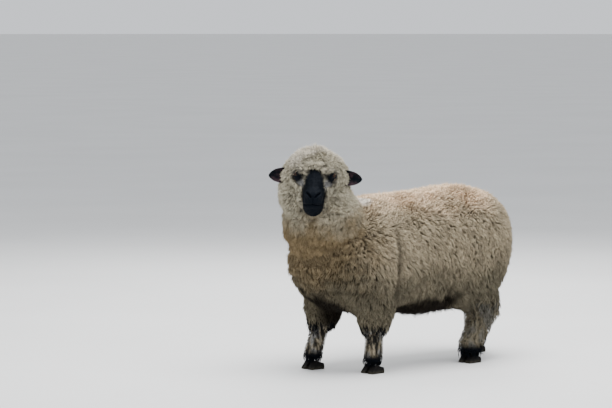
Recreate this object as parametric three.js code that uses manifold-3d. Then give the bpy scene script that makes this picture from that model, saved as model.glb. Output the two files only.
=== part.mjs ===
// A dark-faced, short-woolled lowland sheep in full fleece, life size. It stands in mid stride with its head
// turned to its left. Millimetres, +Z up, ground at Z = 0. The sheep faces -X, and its left side is -Y.
// Each form is drawn out to the tips of the coat. The body is modelled as soft masses that melt into each
// other, skinned by rays cast out from an axis, and then parted where its pieces meet.

import * as THREE from "three";
import { mergeVertices } from "three/addons/utils/BufferGeometryUtils.js";
import Module from "manifold-3d";

const wasm = await Module();
wasm.setup();

const { degToRad, lerp } = THREE.MathUtils;
const at = (x, y, z) => new THREE.Vector3(x, y, z);

// ---------------------------------------------------------------- driving dimensions
const GAP = 0.35; // clear space between two pieces that meet
const LEFT = -1; // the side of the midline, along Y
const RIGHT = 1;

const BACK_HEIGHT = 706; // ground to the fleece over the loin
const RUMP_HEIGHT = BACK_HEIGHT + 8;
const WITHERS_HEIGHT = 686;
const BARREL_RADIUS = 231; // half the depth of the fleeced barrel at the rump
const CHEST_RADIUS = 222; // and behind the shoulders
const CHEST_X = -240;
const RUMP_X = 289;
const SHOULDER_X = -258;
const HIP_X = 312;
const LEG_SPREAD = 128; // from the midline to the middle of a leg
const TRAILING_SPREAD = 115; // the same for the hind leg that trails

const KNEE_HEIGHT = 186;
const HOCK_HEIGHT = 222;
const FETLOCK_HEIGHT = 74;
const CORONET_HEIGHT = 31; // top of the hoof, over the middle of its sole
const CORONET_SLOPE = 0.31; // the hoof's top falls towards the heel
const HOOF_LENGTH = 68;
const HOOF_SET = 2; // the hoof's middle lies this far behind the pastern's end
const CLAW_WIDTH = 28;
const CLAW_GAP = 8; // the cleft between the two claws
const CLAW_SPLAY = degToRad(5);

const SKULL = at(-496, -61, 770); // the head's middle, between the ear roots
const HEAD_YAW = degToRad(48); // turned to its left from straight ahead
const HEAD_ROLL = degToRad(-2.5); // its left ear hangs a little lower
const HEAD_HALF_WIDTH = 139; // the wool on the head, at ear level
const POLL_RISE = 126; // top of the head's wool above the skull's middle
const EYE_RADIUS = 14;
const EYE_FORWARD = 66;
const EYE_SIDE = 68;
const EYE_RISE = 14;
const EAR_LENGTH = 115;
const EAR_WIDTH = 62;
const EAR_THICKNESS = 5;
const EAR_ROOT_SIDE = 66;
const EAR_RISE = 8;

// ---------------------------------------------------------------- materials
const paint = (color, roughness) => new THREE.MeshStandardMaterial({ color, roughness, metalness: 0 });
const FLEECE = paint(0xb9aa90, 0.95);
const HEAD_WOOL = paint(0xb4ad98, 0.95);
const LEG_WOOL = paint(0x8c806a, 0.95);
const DARK_FACE = paint(0x1b1d22, 0.75);
const DARK_EAR = paint(0x241d1e, 0.8);
const HORN = paint(0x1c1917, 0.55);
const EYE = paint(0x2a170b, 0.1);

// ---------------------------------------------------------------- soft masses
// An egg-shaped mass. Like every field here it is negative inside, and near its surface it reads in millimetres.
function egg(centre, radii) {
  return (p) => {
    const q = p.clone().sub(centre).divide(radii);
    const slope = q.clone().divide(radii).length();
    if (slope === 0) return -Math.min(radii.x, radii.y, radii.z);
    return (q.length() * (q.length() - 1)) / slope;
  };
}

// The same mass on both sides of the midline.
function pair(centre, radii) {
  return [LEFT, RIGHT].map((side) => egg(at(centre.x, side * centre.y, centre.z), radii));
}

// A round limb through a list of joints, each a place and a thickness there.
function limbs(...joints) {
  return joints.slice(1).map(([end, endRadius], i) => {
    const [start, startRadius] = joints[i];
    const line = new THREE.Line3(start, end);
    const nearest = new THREE.Vector3();
    return (p) => {
      const along = line.closestPointToPointParameter(p, true);
      return line.at(along, nearest).distanceTo(p) - lerp(startRadius, endRadius, along);
    };
  });
}

// Masses that melt into each other over about the given width.
function melt(width, ...fields) {
  return (p) =>
    fields.reduce((whole, field) => {
      const here = field(p);
      const overlap = Math.max(width - Math.abs(whole - here), 0) / width;
      return Math.min(whole, here) - (overlap * overlap * width) / 4;
    }, Number.MAX_VALUE);
}

// The same mass pressed narrower along Y.
function pressed(scale, field) {
  return (p) => field(at(p.x, p.y / scale, p.z)) * scale;
}

// A field written in a turned frame, read in the body's frame.
function inFrame(frame, field) {
  const back = frame.clone().invert();
  return (p) => field(p.clone().applyMatrix4(back));
}

// ---------------------------------------------------------------- skins
const MARCH = 5; // step of a cast ray
const HALVINGS = 18;

// How far a ray runs from a point inside the field to where it reaches the level.
function castRay(field, origin, direction, level) {
  const reads = (distance) => field(origin.clone().addScaledVector(direction, distance)) - level;
  let far = MARCH;
  while (reads(far) < 0) far += MARCH;
  let near = far - MARCH;
  for (let i = 0; i < HALVINGS; i++) {
    const middle = (near + far) / 2;
    if (reads(middle) < 0) near = middle;
    else far = middle;
  }
  return far;
}

// A closed skin: a capsule is bent onto an axis, and each of its points is cast out to the field's level.
function skin(field, axis, { rings, caps, spokes, level = 0, reference = at(0, 0, 1) }) {
  const shape = new THREE.CapsuleGeometry(1, 1, caps, spokes, rings);
  const points = shape.getAttribute("position");
  for (let i = 0; i < points.count; i++) {
    const along = THREE.MathUtils.clamp(points.getY(i), -0.5, 0.5);
    const tangent = axis.getTangentAt(along + 0.5);
    const side = reference.clone().cross(tangent).normalize();
    const up = side.clone().cross(tangent);
    const direction = side
      .multiplyScalar(points.getX(i))
      .addScaledVector(tangent, points.getY(i) - along)
      .addScaledVector(up, points.getZ(i))
      .normalize();
    const point = axis.getPointAt(along + 0.5);
    point.addScaledVector(direction, castRay(field, point, direction, level));
    points.setXYZ(i, point.x, point.y, point.z);
  }
  return shape;
}

// ---------------------------------------------------------------- solids
function toSolid(geometry) {
  const bare = geometry.clone().deleteAttribute("normal").deleteAttribute("uv");
  const merged = mergeVertices(bare, 1e-3);
  return new wasm.Manifold(
    new wasm.Mesh({
      numProp: 3,
      vertProperties: new Float32Array(merged.getAttribute("position").array),
      triVerts: new Uint32Array(merged.index.array),
    }),
  );
}

function toGeometry(solid) {
  const mesh = solid.getMesh();
  const positions = new Float32Array(mesh.numVert * 3);
  for (let i = 0; i < mesh.numVert; i++) {
    positions.set(mesh.vertProperties.subarray(i * mesh.numProp, i * mesh.numProp + 3), i * 3);
  }
  return new THREE.BufferGeometry()
    .setAttribute("position", new THREE.BufferAttribute(positions, 3))
    .setIndex(new THREE.BufferAttribute(mesh.triVerts, 1));
}

// A skinned body as a solid, and the same body grown by the gap, to cut its neighbours with.
function body(field, axis, detail) {
  return {
    solid: toSolid(skin(field, axis, detail)),
    grown: toSolid(skin(field, axis, { ...detail, level: GAP })),
  };
}

// The greatest of a solid's separate pieces: what else a cut leaves is only shavings.
function largest(solid) {
  return solid.decompose().reduce((most, piece) => (piece.volume() > most.volume() ? piece : most));
}

function cutBy(solid, ...tools) {
  return largest(tools.reduce((rest, tool) => rest.subtract(tool), solid));
}

// Everything behind a plane, as a block far larger than the sheep.
function behind(point, normal) {
  const far = 3000;
  const block = new THREE.BoxGeometry(far, far, far).translate(0, 0, -far / 2);
  const turn = new THREE.Quaternion().setFromUnitVectors(at(0, 0, 1), normal.clone().normalize());
  return toSolid(block.applyQuaternion(turn).translate(point.x, point.y, point.z));
}

// Parts a solid with a thin cut: the piece behind the plane, and the piece in front of it.
function part(solid, point, normal) {
  const clear = point.clone().addScaledVector(normal.clone().normalize(), GAP);
  const halves = [behind(point, normal), behind(clear, normal.clone().negate())];
  return halves.map((half) => largest(solid.intersect(half)));
}

// ---------------------------------------------------------------- trunk, neck and tail
const trunk = body(
  melt(
    70,
    ...limbs(
      [at(CHEST_X, 0, WITHERS_HEIGHT - CHEST_RADIUS), CHEST_RADIUS],
      [at(RUMP_X, 0, RUMP_HEIGHT - BARREL_RADIUS), BARREL_RADIUS],
    ),
    egg(at(-340, 0, 432), at(172, 212, 180)), // breast
    ...pair(at(SHOULDER_X, LEG_SPREAD, 420), at(135, 108, 190)), // shoulders
    ...pair(at(HIP_X, LEG_SPREAD - 26, 430), at(138, 112, 215)), // thighs
    ...pair(at(RUMP_X + 18, 90, 548), at(142, 128, 126)), // the broad top of the rump
    egg(at(20, 0, 400), at(330, 205, 170)), // the fleece that hangs under the ribs
  ),
  new THREE.CatmullRomCurve3([at(-330, 0, 445), at(-120, 0, 455), at(120, 0, 468), at(RUMP_X + 40, 0, 470)]),
  { rings: 14, caps: 6, spokes: 30 },
);

const WITHERS = at(-330, 0, 480);
const THROAT = at(-424, -22, 604);
const NAPE = at(-448, -36, 690);
const neck = body(
  melt(60, ...limbs([WITHERS, 178], [THROAT, 148], [NAPE, 112])),
  new THREE.CatmullRomCurve3([WITHERS, THROAT, NAPE]),
  { rings: 7, caps: 3, spokes: 26, reference: at(1, 0, 0) },
);

// A docked tail, lying against the rump.
const DOCK = at(482, 0, 596);
const TAIL_BEND = at(512, 0, 500);
const TAIL_TIP = at(510, 0, 428);
const tail = body(
  melt(20, ...limbs([DOCK, 38], [TAIL_BEND, 33], [TAIL_TIP, 23])),
  new THREE.CatmullRomCurve3([DOCK, TAIL_BEND, TAIL_TIP]),
  { rings: 4, caps: 2, spokes: 10, reference: at(1, 0, 0) },
);

// ---------------------------------------------------------------- head
// The head's own frame: local +X runs out over the nose, +Y to its left and +Z up, from the skull's middle.
const headFrame = new THREE.Matrix4()
  .makeTranslation(SKULL)
  .multiply(new THREE.Matrix4().makeRotationZ(Math.PI + HEAD_YAW))
  .multiply(new THREE.Matrix4().makeRotationX(HEAD_ROLL));
const onHead = (x, y, z) => at(x, y, z).applyMatrix4(headFrame);

const headWool = body(
  inFrame(
    headFrame,
    melt(
      40,
      egg(at(-38, -2, -4), at(113, HEAD_HALF_WIDTH, 114)), // the cap over the skull
      egg(at(-38, -10, POLL_RISE - 108), at(84, 68, 108)), // its peak
      ...pair(at(-24, 54, -76), at(94, 88, 88)), // cheeks
    ),
  ),
  new THREE.CatmullRomCurve3([onHead(-38, 0, 20), onHead(-32, 0, -60)]),
  { rings: 3, caps: 6, spokes: 28 },
);

// The bare face. It runs back inside the wool, which is cut to fit round it.
const BROW = at(18, 0, 0);
const MID_NOSE = at(88, 0, -33);
const NOSE_END = at(130, 0, -58);
const face = body(
  inFrame(
    headFrame,
    melt(
      26,
      ...limbs([BROW, 64], [MID_NOSE, 40], [NOSE_END, 32]),
      egg(at(138, 0, -70), at(40, 36, 42)), // nose and upper lip
      pressed(0.9, ...limbs([at(10, 0, -58), 58], [at(116, 0, -98), 28])), // jaw
      egg(at(116, 0, -107), at(36, 36, 33)), // chin
      ...pair(at(42, 53, 3), at(34, 30, 28)), // the rim of bone round each eye
    ),
  ),
  new THREE.CatmullRomCurve3([onHead(12, 0, -22), onHead(75, 0, -50), onHead(132, 0, -75)]),
  { rings: 9, caps: 5, spokes: 24 },
);

// An eyeball about its own middle, and where it sits. In the head's frame, its left is +Y.
const eyeBall = (radius) => new THREE.SphereGeometry(radius, 14, 9);
const eyePlace = (side) => onHead(EYE_FORWARD, -side * EYE_SIDE, EYE_RISE);

// An ear: a ball drawn out to a leaf, troughed along its length and open to the front.
const EAR_TROUGH = 0.55; // depth of the trough at the root, against the ear's width
const EAR_SWEEP = 14; // how far the tip trails behind the root
const EAR_DROOP = 6;

function earShape(side) {
  const shape = new THREE.SphereGeometry(1, 20, 14).rotateZ(Math.PI / 2); // its poles lie on X
  const points = shape.getAttribute("position");
  for (let i = 0; i < points.count; i++) {
    const along = (points.getX(i) + 1) / 2; // 0 at the root, 1 at the tip
    const leaf = Math.pow(Math.max(1 - along, 0), 0.15) * (0.9 + 0.3 * along);
    const across = points.getY(i) * leaf;
    const trough = EAR_TROUGH * EAR_WIDTH * across * across * (1 - 0.4 * along);
    const thickness = points.getZ(i) * (EAR_THICKNESS / 2) * (0.5 + 0.5 * leaf);
    points.setXYZ(
      i,
      trough + thickness - EAR_SWEEP * along,
      -side * along * EAR_LENGTH,
      (across * EAR_WIDTH) / 2 - EAR_DROOP * along * along,
    );
  }
  if (side === RIGHT) shape.index.array.reverse(); // laying it out to the right turns it inside out
  return shape.translate(-8, -side * EAR_ROOT_SIDE, EAR_RISE).applyMatrix4(headFrame);
}

// ---------------------------------------------------------------- legs
// The joints from the body down, each with the thickness of its wool or hair there.
function foreJoints(spread, shoulderX, kneeX, foot) {
  return [
    [at(shoulderX, spread * 0.8, 400), 80],
    [at(shoulderX, spread, 300), 86],
    [at(lerp(shoulderX, kneeX, 0.6), spread, 229), 71],
    [at(kneeX, spread, KNEE_HEIGHT), 36],
    ...footJoints(kneeX, spread, 130, foot, [31, 33, 29]),
  ];
}

function hindJoints(spread, hipX, stifleX, hockX, foot) {
  return [
    [at(hipX, spread * 0.8, 440), 80],
    [at(stifleX, spread * 0.95, 345), 88],
    [at(lerp(stifleX, hockX, 0.55), spread, 278), 80],
    [at(hockX, spread, HOCK_HEIGHT), 52],
    ...footJoints(hockX, spread, 150, foot, [42, 40, 32]),
  ];
}

// The middle of the cannon, the fetlock and the pastern's end, above a foot.
function footJoints(x, y, cannonHeight, foot, [cannon, fetlock, pastern]) {
  return [
    [at(lerp(x, foot.x, 0.5), lerp(y, foot.y, 0.5), cannonHeight), cannon],
    [at(foot.x, foot.y, FETLOCK_HEIGHT), fetlock],
    [at(foot.x - 16, foot.y, CORONET_HEIGHT + 5), pastern],
  ];
}

const FORE_PARTING = 205; // height of the cut between the upper and the lower leg
const HIND_PARTING = 212;
const LEGS = {
  fore_left: { joints: foreJoints(-LEG_SPREAD, -246, -250, at(-256, -131, 0)), parting: FORE_PARTING },
  fore_right: { joints: foreJoints(LEG_SPREAD, -282, -305, at(-350, 120, 0)), parting: FORE_PARTING },
  hind_left: { joints: hindJoints(-LEG_SPREAD, 330, 262, 352, at(262, -136, 0)), parting: HIND_PARTING },
  hind_right: { joints: hindJoints(TRAILING_SPREAD, 425, 432, 540, at(518, 106, 0)), parting: HIND_PARTING },
};

// The rays start from a line that bends less than the leg does, so that none of them cross.
function legSolid(joints) {
  const places = joints.map(([place]) => place);
  const eased = places.map((place, i) => {
    const [above, below] = [places[i - 1] ?? place, places[i + 1] ?? place];
    return above.clone().add(below).multiplyScalar(0.25).addScaledVector(place, 0.5);
  });
  const axis = new THREE.CatmullRomCurve3(eased);
  const detail = { rings: 14, caps: 2, spokes: 14, reference: at(1, 0, 0) };
  return toSolid(skin(melt(22, ...limbs(...joints)), axis, detail));
}

// One claw of a hoof: its side outline, drawn out to the claw's width, flat on the ground.
function clawShape() {
  const toe = HOOF_LENGTH * 0.6;
  const heel = -HOOF_LENGTH * 0.4;
  const frontEdge = toe - 25;
  const backEdge = heel + 2;
  const top = (x) => CORONET_HEIGHT - GAP + CORONET_SLOPE * x;
  const outline = new THREE.Shape();
  outline.moveTo(heel, 0);
  outline.lineTo(toe - 3, 0);
  outline.quadraticCurveTo(toe + 1, 1, toe - 3, 8); // rounded toe
  outline.lineTo(frontEdge, top(frontEdge));
  outline.lineTo(backEdge, top(backEdge));
  outline.quadraticCurveTo(heel - 5, 10, heel, 0); // bulging heel
  return new THREE.ExtrudeGeometry(outline, { depth: CLAW_WIDTH, bevelEnabled: false, curveSegments: 4 })
    .rotateX(Math.PI / 2)
    .rotateZ(Math.PI)
    .translate(0, -CLAW_WIDTH / 2, 0);
}

// ---------------------------------------------------------------- the sheep
const sheep = new THREE.Group();

function add(name, geometry, material, parent = sheep) {
  const mesh = new THREE.Mesh(geometry, material);
  mesh.name = name;
  parent.add(mesh);
  return mesh;
}

add("trunk", toGeometry(trunk.solid), FLEECE);
add("neck", toGeometry(cutBy(neck.solid, trunk.grown, headWool.grown, face.grown)), FLEECE);
add("tail", toGeometry(cutBy(tail.solid, trunk.grown)), FLEECE);

const eyeHoles = [LEFT, RIGHT].map((side) =>
  toSolid(eyeBall(EYE_RADIUS + GAP).translate(...eyePlace(side).toArray())),
);
add("muzzle", toGeometry(cutBy(face.solid, ...eyeHoles)), DARK_FACE);
add("head", toGeometry(cutBy(headWool.solid, trunk.grown, face.grown, ...eyeHoles)), HEAD_WOOL);
for (const [side, word] of [[LEFT, "left"], [RIGHT, "right"]]) {
  add(`eye_${word}`, eyeBall(EYE_RADIUS), EYE).position.copy(eyePlace(side));
  add(`ear_${word}`, toGeometry(cutBy(toSolid(earShape(side)), headWool.grown)), DARK_EAR);
}

for (const [name, { joints, parting }] of Object.entries(LEGS)) {
  const pastern = joints.at(-1)[0];
  const hoof = new THREE.Group();
  hoof.position.set(joints.at(-2)[0].x + HOOF_SET, pastern.y, 0);
  sheep.add(hoof);
  for (const side of [LEFT, RIGHT]) {
    const word = side * pastern.y > 0 ? "outer" : "inner";
    const claw = add(`claw_${name}_${word}`, clawShape(), HORN, hoof);
    claw.position.y = (side * (CLAW_WIDTH + CLAW_GAP)) / 2;
    claw.rotation.z = -side * CLAW_SPLAY;
  }
  const whole = cutBy(legSolid(joints), trunk.grown, neck.grown);
  const coronet = hoof.position.clone().setZ(CORONET_HEIGHT);
  const [, aboveHoof] = part(whole, coronet, at(CORONET_SLOPE, 0, 1));
  const [lower, upper] = part(aboveHoof, at(0, 0, parting), at(0, 0, 1));
  add(`leg_${name}_upper`, toGeometry(upper), LEG_WOOL);
  add(`leg_${name}_lower`, toGeometry(lower), LEG_WOOL);
}

// The origin lies on the ground, under the middle of the whole sheep.
const middle = new THREE.Box3().setFromObject(sheep).getCenter(new THREE.Vector3());
sheep.position.set(-middle.x, -middle.y, 0);

export default sheep;
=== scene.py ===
"""A life-size still sheep in full fleece: one skin, its coat of wool locks, its eyes and claws.

Laid out as an add-on and run as a script. The sheep faces -X with its left side to -Y, in metres.
"""

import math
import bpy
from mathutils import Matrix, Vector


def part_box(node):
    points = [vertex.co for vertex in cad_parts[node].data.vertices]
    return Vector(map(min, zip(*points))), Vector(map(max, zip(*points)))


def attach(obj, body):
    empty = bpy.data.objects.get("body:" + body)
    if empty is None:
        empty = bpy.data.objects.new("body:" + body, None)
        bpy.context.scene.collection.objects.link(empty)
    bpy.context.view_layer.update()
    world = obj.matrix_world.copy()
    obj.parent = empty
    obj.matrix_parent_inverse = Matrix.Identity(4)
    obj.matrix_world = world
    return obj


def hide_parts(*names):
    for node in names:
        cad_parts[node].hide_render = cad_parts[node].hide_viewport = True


bl_info = {
    "name": "Standing Sheep",
    "version": (1, 0, 0),
    "blender": (4, 5, 0),
    "location": "3D Viewport > Sidebar > Sheep",
    "description": "Makes the skin, wool, eyes and claws of a life-size sheep around its solids",
    "category": "Add Mesh",
}

import bpy
import numpy as np
from mathutils import Matrix, Vector
from mathutils.bvhtree import BVHTree
from mathutils.kdtree import KDTree

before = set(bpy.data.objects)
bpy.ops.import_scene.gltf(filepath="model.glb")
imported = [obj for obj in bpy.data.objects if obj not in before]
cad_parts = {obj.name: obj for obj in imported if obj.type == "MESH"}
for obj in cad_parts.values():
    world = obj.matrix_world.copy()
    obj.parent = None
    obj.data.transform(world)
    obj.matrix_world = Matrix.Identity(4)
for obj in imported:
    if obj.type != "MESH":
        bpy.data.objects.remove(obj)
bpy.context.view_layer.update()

MM = 0.001
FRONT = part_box("trunk")[0].x  # the front of the breast; places along the body count from it


# ---------------------------------------------------------------- settings
def colour_setting(name, value, description):
    return bpy.props.FloatVectorProperty(
        name=name, description=description, default=value, size=3, min=0, max=1, subtype="COLOR"
    )


def length_setting(name, value, description):
    return bpy.props.FloatProperty(
        name=name, description=description, default=value, min=0, unit="LENGTH"
    )


def count_setting(name, value, description):
    return bpy.props.IntProperty(name=name, description=description, default=value, min=1)


def strength_setting(name, value, description):
    return bpy.props.FloatProperty(name=name, description=description, default=value, min=0)


def angle_setting(name, degrees, description):
    return bpy.props.FloatProperty(
        name=name, description=description, default=math.radians(degrees), subtype="ANGLE"
    )


class SheepCoat(bpy.types.PropertyGroup):
    """How deep the coat is and how many locks it has."""

    fleece_depth: length_setting("Fleece depth", 0.030, "From the skin to the tips on the trunk")
    neck_depth: length_setting("Neck depth", 0.032, "From the skin to the tips on the neck")
    head_depth: length_setting("Head depth", 0.034, "From the skin to the tips on the head")
    tail_depth: length_setting("Tail depth", 0.012, "From the skin to the tips on the tail")
    thigh_depth: length_setting("Thigh depth", 0.022, "From the skin to the tips on the upper legs")
    shin_depth: length_setting("Shin depth", 0.005, "From the skin to the tips above the feet")
    fleece_locks: count_setting("Fleece locks", 76000, "Locks on the trunk")
    neck_locks: count_setting("Neck locks", 18400, "Locks on the neck")
    head_locks: count_setting("Head locks", 17000, "Locks on the head")
    leg_locks: count_setting("Leg locks", 9600, "Locks on the four legs")
    tail_locks: count_setting("Tail locks", 1200, "Locks on the tail")
    face_hairs: count_setting("Face hairs", 6000, "Short hairs on the face and ears")
    brow_locks: count_setting("Brow locks", 3000, "Locks over the brow and beside the muzzle")
    seed: count_setting("Seed", 11, "Which random coat is grown")


class SheepColours(bpy.types.PropertyGroup):
    """The colours of the coat, the skin, the eyes, the claws and the studio."""

    side: colour_setting("Side", (0.37, 0.31, 0.215), "Wool along the ribs")
    # Back: paler wool on top, partly sun-bleached tips and partly painted light from above
    back: colour_setting("Back", (0.64, 0.48, 0.325), "Sun-bleached wool along the back")
    breast: colour_setting("Breast", (0.185, 0.137, 0.076), "Stained wool on the breast")
    # Low: mud and dust, and also painted shade low on the body and the rump
    low: colour_setting("Low", (0.105, 0.094, 0.066), "Muddy wool low down")
    head: colour_setting("Head", (0.41, 0.375, 0.285), "Short wool on the head")
    root: colour_setting("Root", (0.085, 0.060, 0.034), "Shaded roots of the wool")
    hair: colour_setting("Dark hair", (0.0018, 0.0030, 0.0052), "Short hair on the nose and legs")
    # Bleached: pale tips on the withers, and painted rim light on the crown
    bleached: colour_setting("Bleached", (0.74, 0.68, 0.60), "Palest tips, on the crown and withers")
    # Mud: mud under the belly, and also painted shade there, between the forelegs and in the flank
    # notch
    mud_and_shade: colour_setting("Mud", (0.014, 0.011, 0.008), "Wool under the belly")
    dirt: colour_setting("Dirt", (0.050, 0.046, 0.042), "Stained wool round the eyes and muzzle")
    grey: colour_setting("Grey hair", (0.24, 0.235, 0.225), "Short hair beside the nose")
    inner_ear: colour_setting("Inner ear", (0.030, 0.017, 0.021), "Bare skin inside the ear")
    horn: colour_setting("Horn", (0.0040, 0.0036, 0.0034), "Claws")
    iris: colour_setting("Iris", (0.022, 0.011, 0.005), "Iris of the eye")
    flecks: colour_setting("Flecks", (0.02, 0.010, 0.005), "Rays in the iris")
    iris_edge: colour_setting("Iris edge", (0.006, 0.004, 0.004), "Dark ring round the iris")
    eye_corner: colour_setting("Eye corner", (0.010, 0.007, 0.006), "The eyeball beyond its ring")
    pupil: colour_setting("Pupil", (0.001, 0.001, 0.002), "Pupil of the eye")
    floor: colour_setting("Floor", (0.70, 0.70, 0.69), "Painted board under the sheep")
    daylight: colour_setting("Daylight", (0.92, 0.95, 1.0), "Light from all round")


class SheepStudio(bpy.types.PropertyGroup):
    """Where the camera stands and how strong the lights are."""

    azimuth: angle_setting("Azimuth", -42, "Where the camera stands round the sheep")
    elevation: angle_setting("Elevation", 5, "How far the camera stands above the horizon")
    distance: length_setting("Distance", 11, "From the camera to the middle of the sheep")
    lens: strength_setting("Lens", 161.76, "Focal length in millimetres")
    sky: strength_setting("Sky", 1.0, "Strength of the light from all round")
    softbox: strength_setting("Softbox", 430, "Power of the lamp overhead, in watts")
    rim: strength_setting("Rim", 220, "Power of the lamp behind the sheep, in watts")
    fill: strength_setting("Fill", 60, "Power of the lamp beside the camera, in watts")


SETTINGS = {"sheep_coat": SheepCoat, "sheep_colours": SheepColours, "sheep_studio": SheepStudio}


# ---------------------------------------------------------------- the solids and the head's frame
EYE_FORWARD = 0.066
EYE_SIDE = 0.068
EYE_RISE = 0.014
EYE_PLACE = (EYE_FORWARD, EYE_SIDE, EYE_RISE)  # the left eye, in the head's frame
REGIONS = ("trunk", "neck", "head", "tail", "leg", "face", "ear")


def region_of(node):
    """Which region of the coat a CAD node's surface belongs to."""
    first = node.split("_")[0]
    return REGIONS.index("face" if first == "muzzle" else first)


FLESH = [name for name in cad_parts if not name.startswith(("eye", "claw"))]
WOOLLED = [name for name in FLESH if not name.startswith(("muzzle", "ear"))]
CLAWS = [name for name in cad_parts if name.startswith("claw")]


def middle(node):
    low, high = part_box(node)
    return (low + high) / 2


def find_head():
    """The head's own frame: +X out over the nose, +Y to its left, +Z up, from the skull's middle."""
    left, right = middle("eye_left"), middle("eye_right")
    side = (left - right).normalized()
    forward = side.cross(Vector((0, 0, 1))).normalized()
    up = forward.cross(side)
    origin = (left + right) / 2 - forward * EYE_FORWARD - up * EYE_RISE
    turned = Matrix((forward, side, up)).transposed().to_4x4()
    return Matrix.Translation(origin) @ turned


HEAD = find_head()
HEAD_AXES = np.array(HEAD.to_3x3())
HEAD_ORIGIN = np.array(HEAD.translation)


def to_head(points):
    """Places in the head's frame, in millimetres."""
    return (points - HEAD_ORIGIN) @ HEAD_AXES / MM


def from_head(points):
    return np.asarray(points, float) * MM @ HEAD_AXES.T + HEAD_ORIGIN


# ---------------------------------------------------------------- working on meshes
def deselect():
    bpy.ops.object.select_all(action="DESELECT")


def choose(piece):
    deselect()
    piece.select_set(True)
    bpy.context.view_layer.objects.active = piece


def apply_modifier(piece, kind, **settings):
    choose(piece)
    bpy.ops.object.modifier_add(type=kind)
    modifier = piece.modifiers[-1]
    for key, value in settings.items():
        setattr(modifier, key, value)
    bpy.ops.object.modifier_apply(modifier=modifier.name)


def remesh(piece, size):
    apply_modifier(piece, "REMESH", mode="VOXEL", voxel_size=size, use_smooth_shade=True)


def smooth(piece, steps):
    apply_modifier(piece, "SMOOTH", factor=0.5, iterations=steps)


def join(pieces):
    choose(pieces[0])
    for piece in pieces:
        piece.select_set(True)
    bpy.ops.object.join()
    return pieces[0]


def edit(piece, operator, **settings):
    """Runs an edit-mode operator on the whole of a mesh."""
    choose(piece)
    bpy.ops.object.mode_set(mode="EDIT")
    bpy.ops.mesh.select_all(action="SELECT")
    operator(**settings)
    bpy.ops.object.mode_set(mode="OBJECT")


def shade_smooth(piece):
    choose(piece)
    bpy.ops.object.shade_smooth()


def ball(segments, rings, radius, place=(0, 0, 0)):
    deselect()
    bpy.ops.mesh.primitive_uv_sphere_add(
        segments=segments, ring_count=rings, radius=radius, location=place
    )
    return bpy.context.object


def copy_of(node):
    """A new object with a welded copy of a CAD node's mesh."""
    piece = bpy.data.objects.new(node + "_form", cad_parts[node].data.copy())
    bpy.context.collection.objects.link(piece)
    piece.data.materials.clear()
    edit(piece, bpy.ops.mesh.remove_doubles, threshold=0.01 * MM)
    return piece


def swell(piece, distance):
    """Moves the whole surface out, or in where the distance is below 0."""
    apply_modifier(piece, "DISPLACE", strength=distance, mid_level=0)


def read(items, key, kind=float, width=1):
    """A number from each item of a mesh, or a row of them where the width is over 1."""
    values = np.empty(len(items) * width, kind)
    items.foreach_get(key, values)
    return values.reshape(-1, width) if width > 1 else values


def points_of(piece):
    return read(piece.data.vertices, "co", float, 3)


def normals_of(piece):
    return read(piece.data.vertices, "normal", np.float32, 3).astype(float)


def move_points(piece, points):
    piece.data.vertices.foreach_set("co", points.ravel())
    piece.data.update()


def blur(piece, values, steps):
    """Evens out a number held at each vertex, along the edges of the mesh."""
    edges = read(piece.data.edges, "vertices", int, 2)
    one, other = edges.T
    count = len(values)
    near = np.bincount(edges.ravel(), minlength=count)
    for _ in range(steps):
        total = np.bincount(one, values[other], count) + np.bincount(other, values[one], count)
        values = (values + total) / (near + 1)
    return values


def tree_of(pieces):
    """A search tree over several meshes, and for each of its faces the number of its mesh."""
    points, faces, owner = [], [], []
    for number, piece in enumerate(pieces):
        start = len(points)
        points += [v.co for v in piece.data.vertices]
        faces += [[start + i for i in p.vertices] for p in piece.data.polygons]
        owner += [number] * len(piece.data.polygons)
    return BVHTree.FromPolygons(points, faces), np.array(owner)


def nearest(tree, points):
    """The number of the nearest face to each point, and how far off it is."""
    found = [tree.find_nearest(p) for p in points]
    return np.array([f[2] for f in found]), np.array([f[3] for f in found])


def point_tree(places, numbers):
    """A search tree over places, each with its number."""
    tree = KDTree(len(numbers))
    for place, number in zip(places, numbers):
        tree.insert(place, int(number))
    tree.balance()
    return tree


def fade(value, start, end):
    """0 before start, 1 after end, and smooth between them."""
    t = np.clip((value - start) / (end - start), 0, 1)
    return t * t * (3 - 2 * t)


def unit(vectors):
    return vectors / np.maximum(np.linalg.norm(vectors, axis=-1, keepdims=True), 1e-9)


def ripples(points, size, seed, count=9):
    """Smooth random hills and hollows, from about -1 to 1, each about the given size across."""
    rng = np.random.default_rng(seed)
    ways = unit(rng.normal(size=(count, 3))) * rng.uniform(0.6, 1.5, (count, 1)) * math.pi / size
    return np.sin(points @ ways.T + rng.uniform(0, 2 * math.pi, count)).sum(1) / math.sqrt(count)


def set_numbers(piece, name, values):
    attribute = piece.data.attributes.new(name, "FLOAT", "POINT")
    attribute.data.foreach_set("value", np.asarray(values, np.float32))


def get_numbers(piece, name):
    return read(piece.data.attributes[name].data, "value", np.float32).astype(float)


def dress(piece, name, material):
    piece.name = piece.data.name = name
    piece.data.materials.clear()
    piece.data.materials.append(material)


def settle(piece, slot, *nodes):
    """Lets a finished piece ride on the sheep's one body, in place of its CAD nodes."""
    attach(piece, "root")
    if nodes:
        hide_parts(*nodes)


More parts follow.
